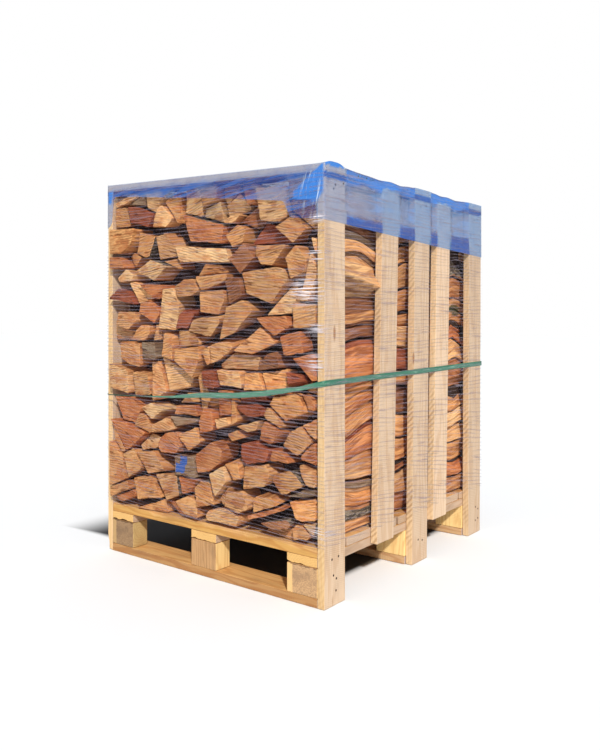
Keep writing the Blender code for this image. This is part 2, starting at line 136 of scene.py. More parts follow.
def lengthOf(place):
    return vector("LENGTH", place, None, 1)


def turned(place, degrees, axis=2):
    # The same place, turned about one axis
    rotation = [0.0, 0.0, 0.0]
    rotation[axis] = math.radians(degrees)
    return joined("ShaderNodeMapping", 0, {"Vector": place, "Rotation": rotation})


def parts(place):
    return addNode(place.id_data, "ShaderNodeSeparateXYZ", {0: place}).outputs


def cloudy(place, scale=1.0, detail=4.0, roughness=0.6, distortion=0.0):
    inputs = {"Vector": place, "Scale": scale, "Detail": detail, "Roughness": roughness}
    inputs["Distortion"] = distortion
    return joined("ShaderNodeTexNoise", 0, inputs)


def streaky(place, stretch, **settings):
    # The same noise, drawn together along each axis
    return cloudy(scaled(place, stretch), **settings)


def stepped(value, low, high):
    # 0 below low, 1 above high
    inputs = {"Value": value, "From Min": low, "From Max": high}
    return joined("ShaderNodeMapRange", 0, inputs, interpolation_type="SMOOTHSTEP")


def mixed(share, first, second, how="MIX"):
    sockets = [value for value in (share, first, second) if isinstance(value, bpy.types.NodeSocket)]
    made = addNode(sockets[0].id_data, "ShaderNodeMix", data_type="RGBA", blend_type=how)
    for socket, value in {0: share, 6: first, 7: second}.items():
        fill(made, socket, value)
    return made.outputs[2]


def over(colour, mask, share, upper):
    # One layer of paint over another where the mask is 1
    return mixed(times(mask, share), colour, upper)


def tinted(colour, tint):
    return mixed(1.0, colour, tint, "MULTIPLY")


def bumped(shader, height, strength, distance):
    inputs = {"Height": height, "Strength": strength, "Distance": distance}
    link(joined("ShaderNodeBump", 0, inputs), shader, "Normal")


def surface(shader, colour, roughness, specular=None):
    link(colour, shader, "Base Color")
    shader.inputs["Roughness"].default_value = roughness
    if specular is not None:
        shader.inputs["Specular IOR Level"].default_value = specular


# Small helpers for meshes

def newPiece(name, shape, finishes, slot, *nodes):
    # A finished piece: it rides on the one body and stands for its CAD nodes
    mesh = bpy.data.meshes.new(name)
    shape.to_mesh(mesh)
    shape.free()
    piece = bpy.data.objects.new(name, mesh)
    bpy.context.scene.collection.objects.link(piece)
    for finish in finishes:
        mesh.materials.append(finish)
    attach(piece, "root")
    if nodes:
        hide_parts(*nodes)
    return piece


def mergedCopy(node):
    # A CAD node's shape with its doubles merged and its flat faces whole again
    shape = bmesh.new()
    shape.from_mesh(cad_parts[node].data)
    bmesh.ops.remove_doubles(shape, verts=shape.verts, dist=0.0001)
    bmesh.ops.dissolve_limit(
        shape, angle_limit=math.radians(2), verts=shape.verts, edges=shape.edges
    )
    return shape


def moveInto(whole, shape, spare):
    # Adds a finished shape to a larger one
    spare.clear_geometry()
    shape.to_mesh(spare)
    shape.free()
    whole.from_mesh(spare)


def nextRing(shape, edges):
    # Draws a row of edges out into the next one, as its corners and edges
    made = bmesh.ops.extrude_edge_only(shape, edges=edges)["geom"]
    kinds = (bmesh.types.BMVert, bmesh.types.BMEdge)
    return [[item for item in made if isinstance(item, kind)] for kind in kinds]


def slicedAlong(shape, axis, step):
    # Cuts a shape across an axis into even lengths of about one step
    low = min(vert.co[axis] for vert in shape.verts)
    high = max(vert.co[axis] for vert in shape.verts)
    count = max(1, round((high - low) / step))
    normal = Vector((axis == 0, axis == 1, axis == 2))
    for number in range(1, count):
        place = normal * (low + (high - low) * number / count)
        everything = shape.verts[:] + shape.edges[:] + shape.faces[:]
        bmesh.ops.bisect_plane(shape, geom=everything, plane_co=place, plane_no=normal)


def blend(first, second, share):
    return first + (second - first) * share


def between(known, place):
    # Straight lines through a list of places and values
    for (placeA, valueA), (placeB, valueB) in zip(known, known[1:]):
        if placeA <= place <= placeB:
            return valueA + (valueB - valueA) * (place - placeA) / (placeB - placeA)
    return known[0][1] if place < known[0][0] else known[-1][1]


# The crate's own sizes, as the CAD has them

crate = {
    "halfWidth": 0.4223,
    "halfLength": 0.500,
    "boardThickness": 0.022,
    "leftPostTop": 1.163,
    "rightPostTop": 1.130,
    "deckTop": 0.154,
    "innerHalfWidth": 0.400,
}


def topBoardUnderside(x):
    share = (x + crate["halfWidth"]) / (2 * crate["halfWidth"])
    return blend(crate["leftPostTop"], crate["rightPostTop"], share)


# Sawn boards

boardLooks = {
    "face": {
        "colour": paint(216, 189, 160), "grainColour": paint(196, 158, 122),
        "stain": paint(174, 146, 126), "ringPitch": 0.010, "grainDepth": 0.45,
        "sawPitch": 0.0052, "sawTurn": 84.0, "sawDepth": 0.22, "blotch": 0.35,
        "knot": paint(150, 95, 50), "bump": 0.0008,
    },
    "edge": {
        "colour": paint(230, 200, 160), "grainColour": paint(214, 174, 124),
        "stain": paint(192, 154, 116), "ringPitch": 0.006, "grainDepth": 0.4,
        "sawPitch": 0.0125, "sawTurn": 42.0, "sawDepth": 0.66, "blotch": 0.30,
        "knot": paint(150, 95, 50), "bump": 0.0010, "sawAxis": 1, "frontTint": (0.93, 0.88, 0.75, 1.0),
    },
    "pallet": {
        "colour": paint(214, 168, 108), "grainColour": paint(184, 126, 70),
        "stain": paint(158, 116, 78), "ringPitch": 0.008, "grainDepth": 0.55,
        "sawPitch": 0.006, "sawTurn": 80.0, "sawDepth": 0.18, "blotch": 0.5,
        "knot": paint(128, 74, 38), "bump": 0.0010,
    },
    "palletSide": {
        "colour": paint(194, 166, 140), "grainColour": paint(174, 140, 110),
        "stain": paint(150, 126, 106), "ringPitch": 0.009, "grainDepth": 0.5,
        "sawPitch": 0.005, "sawTurn": 80.0, "sawDepth": 0.22, "blotch": 0.45,
        "knot": paint(128, 80, 48), "bump": 0.0012,
    },
    "blockSide": {
        "colour": paint(230, 198, 136), "grainColour": paint(206, 162, 102),
        "stain": paint(176, 132, 86), "ringPitch": 0.008, "grainDepth": 0.5,
        "sawPitch": 0.005, "sawTurn": 90.0, "sawDepth": 0.16, "blotch": 0.35,
        "knot": paint(128, 80, 48), "bump": 0.0010,
    },
    "stringerEnd": {
        "colour": paint(222, 178, 110), "grainColour": paint(208, 158, 90),
        "stain": paint(184, 134, 76), "ringDepth": 0.25,
    },
    "block": {
        "colour": paint(192, 150, 104), "grainColour": paint(156, 114, 74),
        "stain": paint(120, 96, 72), "ringPitch": 0.007, "grainDepth": 0.55,
        "sawPitch": 0.004, "sawTurn": 60.0, "sawDepth": 0.22, "blotch": 0.7,
        "knot": paint(112, 76, 48), "bump": 0.0016,
    },
}
# The two lowest front edges, which are greyer and yellower than the rest of their boards
boardLooks["bottomFront"] = {**boardLooks["pallet"], "frontTint": (0.66, 0.61, 0.62, 1.0)}
boardLooks["deckFront"] = {**boardLooks["pallet"], "frontTint": (0.91, 0.87, 0.66, 1.0)}


def sawnWood(name, look):
    finish, tree, shader = newFinish(name)
    place = attribute(tree, "grainPlace")
    lot = attribute(tree, "boardLot", "Color")
    # Growth rings round a distant pith, drawn out along the board
    wander = streaky(place, (2.2, 14.0, 14.0), detail=3.0)
    wander = times(minus(wander, 0.5), 0.050)
    flat = scaled(place, (0.02, 1.0, 1.0))
    fromPith = lengthOf(flat)
    ringWave = plus(fromPith, wander)
    ringWave = calc("SINE", times(ringWave, 2 * math.pi / look["ringPitch"]))
    ring = stepped(ringWave, -0.2, 1.0)
    fibre = streaky(place, (9.0, 330.0, 330.0), detail=3.0, roughness=0.7)
    grain = times(ring, look["grainDepth"])
    grain = plus(grain, times(stepped(fibre, 0.45, 0.75), 0.35))
    colour = mixed(grain, look["colour"], look["grainColour"])
    # Broad stains, paler or darker by the board
    broad = streaky(place, (3.5, 16.0, 16.0), detail=4.0, roughness=0.65)
    stain = times(stepped(broad, 0.48, 0.72), look["blotch"])
    colour = mixed(stain, colour, look["stain"])
    # A few knots
    knotPlace = scaled(place, (2.6, 9.0, 9.0))
    knots = addNode(tree, "ShaderNodeTexVoronoi", {"Vector": knotPlace, "Scale": 1.0})
    knot = minus(1.0, stepped(knots.outputs["Distance"], 0.03, 0.075))
    colour = over(colour, knot, 0.75, look["knot"])
    # Saw marks across the board
    sawWander = streaky(place, (30.0, 8.0, 8.0), detail=2.0)
    sawPlace = turned(place, look["sawTurn"] - 90.0, look.get("sawAxis", 2))
    along = parts(sawPlace)[0]
    sawPhase = times(along, 2 * math.pi / look["sawPitch"])
    sawPhase = plus(sawPhase, times(sawWander, 9.0))
    saw = stepped(calc("SINE", sawPhase), -0.6, 1.0)
    patchy = stepped(streaky(place, (7.0, 12.0, 12.0), detail=2.0), 0.35, 0.65)
    saw = times(saw, patchy)
    sawShade = times(saw, look["sawDepth"])
    if "frontTint" in look:
        # The faces at the very front are smoother and yellower
        spot = parts(objectPlace(tree))
        atFront = stepped(spot[1], -0.4972, -0.4984)
        smoother = minus(1.0, times(atFront, 0.6))
        sawShade = times(sawShade, smoother)
        colour = mixed(atFront, colour, tinted(colour, look["frontTint"]))
    colour = mixed(sawShade, colour, tinted(colour, (0.55, 0.46, 0.38, 1.0)))
    colour = tinted(colour, lot)
    link(colour, shader, "Base Color")
    roughness = plus(0.62, times(fibre, 0.25))
    link(roughness, shader, "Roughness")
    shader.inputs["Specular IOR Level"].default_value = 0.3
    height = plus(times(fibre, 0.5), times(saw, -0.5))
    bumped(shader, height, 0.8, look["bump"])
    return finish


def endGrain(name, look):
    # The sawn end of a board: arcs of rings and a rougher, darker face
    finish, tree, shader = newFinish(name)
    place = attribute(tree, "grainPlace")
    lot = attribute(tree, "boardLot", "Color")
    wander = streaky(place, (0.0, 40.0, 40.0), detail=3.0)
    flat = scaled(place, (0.0, 1.0, 1.0))
    fromPith = lengthOf(flat)
    ringWave = plus(fromPith, times(wander, 0.006))
    ringWave = calc("SINE", times(ringWave, 2 * math.pi / 0.0065))
    grit = streaky(place, (300.0, 300.0, 300.0), detail=4.0)
    share = times(stepped(ringWave, -0.3, 1.0), look.get("ringDepth", 0.5))
    colour = mixed(share, look["colour"], look["grainColour"])
    colour = over(colour, stepped(grit, 0.45, 0.7), 0.35, look["stain"])
    colour = tinted(colour, lot)
    surface(shader, colour, 0.85)
    bumped(shader, plus(grit, times(ringWave, 0.2)), 0.9, 0.0012)
    return finish


boardWear = {
    "edgeRound": 0.0016, "wornEdge": 0.0022, "roughFace": 0.0006, "cutLength": 0.045,
    "lightest": 1.06, "darkest": 0.90,
    # Height of the painted shadow line along the seam between the corner blocks and the stringers
    "seamShadow": 0.1045,
}


def roughBlock():
    # The face of a corner block: torn, speckled fibre with a smoother strip at its left
    finish, tree, shader = newFinish("roughBlockFace")
    place = attribute(tree, "grainPlace")
    lot = attribute(tree, "boardLot", "Color")
    speck = streaky(place, (190.0, 260.0, 190.0), detail=5.0, roughness=0.75)
    blotch = streaky(place, (22.0, 30.0, 22.0), detail=3.0)
    colour = mixed(stepped(speck, 0.38, 0.66), paint(196, 158, 116), paint(158, 124, 90))
    patch = times(stepped(blotch, 0.42, 0.66), 0.6)
    colour = mixed(patch, colour, paint(146, 116, 88))
    strip = plus(parts(place)[0], times(blotch, 0.008))
    colour = mixed(stepped(strip, -0.024, -0.029), colour, paint(222, 180, 122))
    colour = tinted(colour, lot)
    # Painted shadow: a dark, uneven line along the seam under the torn edge of the stringer above
    spot = parts(objectPlace(tree))
    seamShadowEdge = plus(spot[2], times(cloudy(place, scale=90.0), 0.010))
    seamShadow = stepped(seamShadowEdge, boardWear["seamShadow"], boardWear["seamShadow"] + 0.0015)
    colour = over(colour, seamShadow, 0.85, paint(58, 40, 24))
    surface(shader, colour, 0.9)
    bumped(shader, speck, 1.0, 0.0022)
    return finish


boardFinishes = {}
for finishName, finishLook in boardLooks.items():
    if "ringPitch" in finishLook:
        boardFinishes[finishName] = sawnWood(finishName + "Board", finishLook)
    if finishName in ("face", "palletSide", "stringerEnd"):
        boardFinishes[finishName + "End"] = endGrain(finishName + "BoardEnd", finishLook)
boardFinishes["roughBlock"] = roughBlock()


def wornBoard(node, kinds, slot, chance, lot=None, wane=None, grainAxes=None):
    # One board of pallet or crate. kinds names its wide, narrow and end finishes.
    # grainAxes turns the grain another way than along the longest side
    shape = mergedCopy(node)
    low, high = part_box(node)
    size = high - low
    order = sorted(range(3), key=lambda axis: -size[axis])
    along, across, thick = order
    bmesh.ops.bevel(
        shape, geom=shape.edges[:], affect="EDGES", offset=boardWear["edgeRound"],
        offset_type="OFFSET", segments=2, profile=0.5, material=-1,
    )
    slicedAlong(shape, along, boardWear["cutLength"] if wane is None else 0.012)
    slicedAlong(shape, across, 0.032 if wane is None else 0.009)
    grain = shape.verts.layers.float_vector.new("grainPlace")
    lots = shape.verts.layers.float_color.new("boardLot")
    pith = Vector((chance.uniform(-9, 9), chance.uniform(-0.06, 0.06), chance.uniform(0.02, 0.12)))
    if lot is None:
        bright = chance.uniform(boardWear["darkest"], boardWear["lightest"])
        warm = chance.uniform(-0.03, 0.03)
        lot = (bright * (1 + warm), bright, bright * (1 - 2 * warm), 1.0)
    shift = Vector((chance.uniform(0, 50), chance.uniform(0, 50), chance.uniform(0, 50)))
    shape.normal_update()
    grainAlong, grainAcross, grainThick = grainAxes or order
    if node.startswith("block") and not grainAxes:
        pith = Vector((0.0, 0.0, 0.0))
    for vert in shape.verts:
        local = vert.co - (low + high) / 2
        vert[grain] = Vector((local[grainAlong], local[grainAcross], local[grainThick])) + pith
        vert[lots] = lot
    for vert in shape.verts:
        steep = max(abs(share) for share in vert.normal)
        rough = 0.5 + 0.5 * noise.noise(vert.co * 22 + shift)
        inward = boardWear["roughFace"] * rough
        if steep < 0.95:
            chip = max(0.0, noise.noise(vert.co * 55 + shift))
            inward += boardWear["wornEdge"] * chip
        vert.co -= vert.normal * inward
    if wane:
        wane(shape, low, high, shift)
    for face in shape.faces:
        steepness = [abs(face.normal[axis]) for axis in order]
        face.material_index = 2 if steepness[0] > 0.7 else (1 if steepness[1] > 0.7 else 0)
        face.smooth = False
    finishes = [boardFinishes[kind] for kind in kinds]
    return newPiece(node + "_wood", shape, finishes, slot, node)


def deckWane(shape, low, high, shift):
    # The front deck board keeps the tree's own edge along the top of its front
    for vert in shape.verts:
        if vert.co.y < low.y + 0.006 and vert.co.z > high.z - 0.008:
            bite = 0.5 + 0.5 * noise.noise(Vector((vert.co.x * 9, 3.0, 0.0)) + shift)
            bite += 0.35 * noise.noise(Vector((vert.co.x * 42, 7.0, 0.0)) + shift)
            vert.co.z -= 0.009 * max(0.0, bite)
            vert.co.y += 0.004 * max(0.0, bite)


def bottomWane(shape, low, high, shift):
    # The bottom board's back edge is the tree's own too
    for vert in shape.verts:
        if vert.co.y > high.y - 0.006 and vert.co.z > high.z - 0.008:
            bite = 0.5 + 0.5 * noise.noise(Vector((vert.co.x * 7, 3.0, 0.0)) + shift)
            vert.co.z -= 0.010 * max(0.0, bite)
            vert.co.y -= 0.006 * max(0.0, bite)


def brokenFoot(shape, low, high, shift):
    # The outer corner at the foot of the left front post has broken off
    for vert in shape.verts:
        up = (vert.co.z - low.z) / 0.050
        if up < 1 and vert.co.x < low.x + 0.016 and vert.co.y < low.y + 0.03:
            bite = (1 - up) * (0.7 + 0.6 * noise.noise(vert.co * 70 + shift))
            vert.co.x += 0.011 * max(0.0, bite)
            vert.co.z += 0.006 * max(0.0, bite)


def tornStringer(shape, low, high, shift):
    # A torn lower edge at the front end of each stringer
    for vert in shape.verts:
        if vert.co.y < low.y + 0.006 and vert.co.z < low.z + 0.008:
            bite = 0.3 + noise.noise(Vector((vert.co.x * 60, 3.0, 0.0)) + shift)
            vert.co.z += 0.0065 * max(0.0, bite)


def allBoards():
    chance = random.Random(5)
    crateKinds = ("face", "edge", "faceEnd")
    blockLots = {"left": 0.66, "middle": 1.02, "right": 1.12}
    crateLots = {
        "post_right_front": 0.92, "slat_right_front": 0.90, "post_right_middle": 0.88,
        "slat_right_back": 1.02, "post_right_back": 0.84,
    }
    for node in sorted(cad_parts):
        if node.startswith("bottom_board"):
            first = node.endswith("front")
            # Those under the middle and back get a cooler, bluer tint: painted shade, as they lie under the
            # load
            lot = (1.0, 1.0, 1.0, 1.0) if first else (0.84, 0.92, 1.25, 1.0)
            wane = bottomWane if first else None
            kinds = ("pallet", "bottomFront" if first else "pallet", "palletSideEnd")
            wornBoard(node, kinds, "pallet_board", chance, lot=lot, wane=wane)
        elif node.startswith("block"):
            bright = blockLots[node.split("_")[-1]]
            lot = (bright, bright, bright, 1.0)
            rough = "_front_" in node and not node.endswith("middle")
            front = ("roughBlock" if rough else "block", "block", "blockSide")
            kinds = front if "_front_" in node else ("blockSide", "blockSide", "blockSide")
            grainAxes = None if rough else (2, 0, 1)
            wornBoard(node, kinds, "pallet_block", chance, lot=lot, grainAxes=grainAxes)
        elif node.startswith("stringer"):
            kinds = ("pallet", "palletSide", "stringerEndEnd")
            lot = (1.0, 1.0, 1.0, 1.0)
            wornBoard(node, kinds, "pallet_board", chance, lot=lot, wane=tornStringer)
        elif node.startswith("deck"):
            first = node == "deck_board_1"
            kinds = ("pallet", "deckFront" if first else "palletSide", "palletSideEnd")
            wornBoard(node, kinds, "pallet_board", chance, wane=deckWane if first else None)
        elif node.startswith(("post", "slat", "top")):
            bright = crateLots.get(node, chance.uniform(0.86, 1.0))
            lot = (bright, bright, bright, 1.0)
            wane = brokenFoot if node == "post_left_front" else None
            wornBoard(node, crateKinds, "crate_board", chance, lot=lot, wane=wane)


allBoards()
print("stage: boards")


# Firewood: the outlines of the log ends repeat the CAD's own packing

stack = {
    "rows": {"front": (-0.500, -0.180), "middle": (-0.165, 0.165), "back": (0.180, 0.500)},
    "layers": 16,
    "across": 10,
    "halfWidth": 0.396,
    "belowTopBoard": 0.006,
    "space": 0.0012,
    "leastArea": 0.0006,
    "reach": 0.160,
    "clearance": 0.008,
    "shake": 0.36,
    "weights": (0.0, 0.0009),
    "corners": (3, 4, 4, 4, 5, 5),
    "keptShare": 0.62,
    "slantDegrees": 24,
    "sideStarts": {"middle": -0.1705, "back": 0.1745},
    "sideStops": {"front": -0.1745, "middle": 0.1705},
    "leftReach": 0.0190,
    "setIn": {1: (0.004, 0.022), -1: (0.0, 0.010)},
    "atSide": 0.004,
    "recess": (0.003, 0.026),
    "bulge": 0.020,
    "bulgeAcross": ((-0.4225, 0.0), (-0.3965, 1.0), (0.10, 1.0), (0.30, 0.6), (0.4225, 0.0)),
    "bulgeUp": ((0.158, 0.6), (0.25, 1.0), (0.93, 1.0), (1.005, 0.0)),
    "railDrop": 0.014,
    "railHeight": 0.108,
    "railSetBack": 0.070,
    "seeds": {"front": 11, "middle": 23, "back": 37},
    "coreInsets": {"side": 0.030, "bottom": 0.015, "top": 0.028},
    "heart": {
        "side": 0.368, "end": 0.066, "cornerEnd": {"front": 0.048, "back": 0.024},
        "top": 0.045, "foot": 0.020,
        "cornerInner": 0.030, "cornerOuter": 0.004, "slice": 0.05, "rough": 0.004,
        # Very dark: painted shade for the depths of the stack
        "tone": (0.042, 0.024, 0.016, 1.0),
    },
    "sideFrom": 0.30, "leftEdge": -0.385,
    # Heights at which the log ends at the left edge stand out in front of the post
    "leftStandsOut": ((0.150, 0.300), (0.470, 0.620), (0.795, 0.850), (0.900, 1.055)),
}

# Logs that stand out on the front: tone, then the corners of the end in x and z, in millimetres
standingOut = (
    ("light", (-400, 1125), (-310, 1150), (-275, 1140), (-335, 1120), (-385, 1110)),
    ("honey", (-390, 1110), (-340, 1110), (-325, 1045), (-400, 1045)),
    ("darkRed", (-335, 1110), (-280, 1105), (-210, 1075), (-235, 1035), (-320, 1055)),
    ("honey", (-400, 1040), (-275, 1035), (-290, 985), (-340, 955), (-400, 960)),
    ("honey", (-275, 1025), (-200, 1005), (-235, 945), (-255, 940), (-315, 965)),
    ("light", (-115, 970), (95, 950), (105, 910), (-95, 920)),
    ("orange", (-90, 1065), (80, 1020), (70, 965), (-60, 980)),
    ("honey", (80, 990), (125, 1020), (160, 1005), (150, 965), (110, 950)),
    ("light", (190, 1115), (300, 1110), (300, 1025), (270, 1010), (205, 1020)),
    ("tan", (255, 1000), (315, 1030), (365, 990), (320, 950)),
    ("brown", (100, 920), (155, 965), (195, 920), (145, 875)),
    ("honey", (195, 955), (305, 950), (260, 895), (190, 900)),
    ("light", (-280, 900), (-210, 935), (-135, 910), (-190, 865)),
    ("light", (-355, 880), (-315, 910), (-280, 890), (-290, 870), (-345, 865)),
    ("orange", (-400, 950), (-345, 950), (-320, 910), (-400, 910)),
    ("honey", (95, 785), (155, 805), (195, 775), (130, 710), (75, 690)),
    ("honey", (150, 880), (285, 895), (310, 860), (250, 790), (165, 820)),
    ("orange", (280, 705), (345, 720), (360, 660), (295, 650)),
    ("honey", (320, 795), (400, 790), (400, 725), (320, 725)),
    ("tan", (120, 660), (215, 730), (270, 685), (190, 650)),
    ("honey", (40, 695), (125, 675), (110, 645), (40, 620)),
    ("light", (55, 605), (150, 605), (155, 555), (65, 560)),
    ("honey", (160, 600), (210, 605), (235, 555), (160, 550)),
    ("grey", (-105, 345), (-20, 350), (-10, 285), (-100, 285)),
    ("orange", (-185, 365), (-170, 390), (-145, 408), (-95, 415), (-75, 375), (-95, 342), (-120, 320),
     (-155, 335)),
    ("honey", (-295, 250), (-215, 270), (-160, 205), (-270, 185)),
    ("tan", (-270, 335), (-190, 350), (-140, 290), (-215, 270)),
    ("honey", (-330, 325), (-280, 350), (-250, 280), (-305, 250)),
    ("tan", (-190, 280), (-95, 295), (-85, 225), (-140, 200)),
    ("orange", (-390, 430), (-295, 420), (-225, 400), (-315, 330)),
    ("light", (-400, 610), (-305, 590), (-300, 515), (-400, 530)),
    ("honey", (-295, 585), (-215, 580), (-205, 515), (-285, 510)),
    ("light", (-250, 475), (-205, 495), (-140, 480), (-200, 440)),
    ("honey", (-95, 405), (-20, 435), (0, 390), (-45, 360)),
    ("darkRed", (-400, 815), (-275, 795), (-295, 835), (-350, 850)),
    ("light", (-175, 720), (-100, 715), (-85, 790), (-110, 845), (-150, 845)),
    ("darkRed", (-100, 720), (-50, 720), (-30, 765), (-70, 780), (-100, 755)),
    ("honey", (-45, 715), (40, 695), (80, 740), (75, 760), (-25, 750)),
    ("honey", (-10, 685), (20, 615), (120, 645), (130, 675)),
    ("tan", (-5, 770), (70, 760), (95, 805), (90, 835), (0, 830)),
    ("tan", (-115, 845), (-100, 815), (-35, 815), (-5, 830), (-30, 870), (-70, 870)),
    ("honey", (-105, 660), (-105, 625), (-30, 575), (0, 630), (-5, 670)),
    ("tan", (-350, 625), (-305, 605), (-250, 600), (-250, 675), (-350, 680)),
    ("grey", (-245, 680), (-240, 625), (-180, 625), (-185, 680)),
    ("darkRed", (-5, 600), (15, 550), (60, 550), (55, 605)),
    ("orange", (-260, 770), (-195, 735), (-160, 770), (-210, 810), (-250, 800)),
    ("tan", (-365, 730), (-305, 715), (-270, 745), (-275, 775), (-350, 775)),
    ("orange", (-260, 860), (-195, 810), (-160, 810), (-150, 855)),
    ("tan", (-200, 1005), (-185, 930), (-105, 940), (-115, 970), (-160, 1015)),
    ("honey", (-20, 875), (0, 830), (70, 850), (100, 865), (100, 880)),
    ("honey", (-290, 685), (-235, 680), (-210, 705), (-205, 730), (-245, 735), (-275, 715)),
    ("honey", (-160, 635), (-105, 625), (-100, 695), (-150, 710)),
    ("light", (-225, 1035), (-165, 1030), (-130, 1055), (-170, 1100), (-200, 1095)),
    ("light", (70, 1030), (80, 1020), (115, 1025), (140, 1045), (125, 1050)),
    ("honey", (295, 915), (315, 855), (360, 870), (370, 905), (330, 950)),
    ("light", (380, 965), (390, 925), (400, 920), (400, 960)),
    ("orange", (200, 755), (230, 725), (265, 700), (315, 730), (305, 760)),
    ("orange", (320, 645), (380, 585), (400, 590), (400, 650), (375, 660)),
    ("brown", (205, 605), (285, 620), (280, 650), (245, 660), (205, 630)),
    ("brown", (90, 865), (105, 790), (160, 815), (155, 870)),
    ("darkRed", (295, 610), (305, 575), (360, 585), (350, 605)),
    ("tan", (-290, 400), (-215, 375), (-205, 420), (-230, 455), (-255, 460)),
    ("tan", (-205, 390), (-155, 405), (-95, 425), (-130, 460), (-205, 425)),
    ("grey", (-120, 460), (-95, 430), (-10, 450), (-5, 460)),
    ("orange", (-110, 465), (-10, 465), (-15, 500), (-95, 495)),
    ("orange", (-5, 500), (-5, 415), (55, 430), (50, 485)),
    ("light", (55, 465), (65, 435), (115, 450), (105, 475)),
    ("light", (135, 450), (175, 435), (205, 445), (220, 475)),
    ("honey", (95, 425), (120, 405), (165, 420), (135, 440)),
    ("orange", (-15, 355), (-15, 300), (40, 310), (80, 340), (90, 380), (50, 400)),
    ("tan", (-325, 330), (-310, 250), (-245, 285), (-270, 355)),
    ("tan", (-400, 365), (-400, 210), (-320, 240), (-325, 315)),
    ("orange", (-380, 180), (-345, 165), (-280, 195), (-290, 215)),
    ("orange", (-100, 285), (-85, 225), (-40, 240), (-10, 285)),
    ("honey", (-25, 255), (-15, 200), (50, 215), (45, 245), (25, 305)),
    ("light", (35, 305), (60, 240), (105, 290), (90, 335)),
    ("honey", (90, 340), (120, 295), (150, 300), (145, 350)),
    ("honey", (-120, 200), (-75, 170), (-5, 165), (-5, 205), (-60, 230)),
    ("light", (-5, 190), (15, 165), (130, 165), (145, 195), (90, 215)),
    ("honey", (235, 535), (245, 515), (300, 475), (370, 505), (350, 540), (330, 555)),
    ("orange", (330, 555), (370, 505), (400, 510), (400, 530), (370, 550)),
    ("darkRed", (135, 510), (140, 495), (175, 475), (230, 485), (205, 520)),
    ("honey", (115, 525), (120, 450), (155, 470), (135, 525)),
    ("tan", (210, 530), (230, 480), (285, 455), (295, 465), (235, 535)),
    ("orange", (210, 420), (245, 405), (260, 415), (285, 445), (290, 455), (230, 475), (215, 450)),
    ("tan", (285, 410), (320, 390), (335, 385), (385, 430), (350, 470), (310, 450)),
    ("tan", (350, 470), (390, 435), (400, 435), (400, 495)),
    ("darkRed", (120, 395), (165, 345), (240, 360), (250, 385), (245, 395), (195, 415)),
    ("orange", (250, 400), (250, 365), (315, 365), (310, 375), (290, 395)),
    ("orange", (340, 375), (400, 365), (400, 430), (385, 425), (340, 390)),
    ("honey", (155, 275), (225, 290), (240, 295), (255, 330), (235, 355), (155, 340)),
    ("honey", (245, 325), (280, 275), (300, 280), (360, 310), (340, 335), (315, 350)),
    ("tan", (335, 365), (345, 335), (365, 310), (400, 310), (400, 355)),
    ("grey", (300, 275), (350, 280), (400, 290), (400, 305), (355, 300)),
    ("honey", (190, 215), (220, 225), (280, 250), (245, 280), (190, 260)),
    ("honey", (310, 265), (330, 220), (350, 215), (400, 225), (400, 270), (385, 280)),
    ("light", (350, 210), (385, 185), (400, 190), (400, 220)),
    ("orange", (170, 205), (175, 195), (225, 210), (300, 240), (270, 240)),
    ("brown", (210, 190), (255, 180), (310, 190), (320, 205), (300, 215)),
    ("tan", (310, 190), (320, 160), (370, 170), (380, 185), (350, 205), (325, 205)),
    ("tan", (90, 220), (145, 205), (185, 215), (155, 275), (95, 260)),
)

# Tones of log ends, and how often each turns up
logTones = {
    "honey": (paint(206, 154, 103), 32),
    "light": (paint(218, 176, 128), 16),
    "tan": (paint(196, 147, 102), 24),
    "orange": (paint(190, 126, 82), 12),
    "brown": (paint(152, 104, 72), 8),
    "darkRed": (paint(150, 84, 58), 2),
    "grey": (paint(140, 120, 100), 3),
}


def clip(outline, across, up, limit):
    # The part of a convex outline where across * x + up * z is at most limit
    kept = []
    for index, (x, z) in enumerate(outline):
        nextX, nextZ = outline[(index + 1) % len(outline)]
        here = across * x + up * z - limit
        there = across * nextX + up * nextZ - limit
        if here <= 0:
            kept.append((x, z))
        if here * there < 0:
            share = here / (here - there)
            kept.append((x + (nextX - x) * share, z + (nextZ - z) * share))
    return kept


def area(outline):
    total = 0.0
    for index, (x, z) in enumerate(outline):
        nextX, nextZ = outline[(index + 1) % len(outline)]
        total += x * nextZ - nextX * z
    return total / 2


def middleOf(outline):
    count = len(outline)
    return sum(x for x, z in outline) / count, sum(z for x, z in outline) / count


def stackLimits(side=0.0, bottom=0.0, top=0.0):
    # Deck, both sides and the sloping top boards, each drawn in by its inset
    slope = (crate["rightPostTop"] - crate["leftPostTop"]) / (2 * crate["halfWidth"])
    ceiling = topBoardUnderside(0.0) - stack["belowTopBoard"]
    return (
        (0.0, -1.0, -(crate["deckTop"] + 0.0006 + bottom)),
        (1.0, 0.0, stack["halfWidth"] - side),
        (-1.0, 0.0, stack["halfWidth"] - side),
        (-slope, 1.0, ceiling - top),
    )


def counterClockwise(corners):
    return list(corners) if area(corners) > 0 else list(reversed(corners))


def within(outline, x, z, margin):
    return outwardsOf(outline, x, z) <= margin


def outwardsOf(outline, x, z):
    # How far a point lies outside a convex outline, or below 0 how deep inside
    furthest = -1.0
    for index, (xA, zA) in enumerate(outline):
        xB, zB = outline[(index + 1) % len(outline)]
        out = ((zB - zA) * (x - xA) - (xB - xA) * (z - zA)) / math.hypot(xB - xA, zB - zA)
        furthest = max(furthest, out)
    return furthest


def clearOf(outline, other):
    # Saws one log along the edge of another that costs it least
    best = []
    for index, (xA, zA) in enumerate(other):
        xB, zB = other[(index + 1) % len(other)]
        length = math.hypot(xB - xA, zB - zA)
        across = -(zB - zA) / length
        up = (xB - xA) / length
        kept = clip(outline, across, up, across * xA + up * zA - 2 * stack["space"])
        if len(kept) > 2 and (not best or area(kept) > area(best)):
            best = kept
    return best


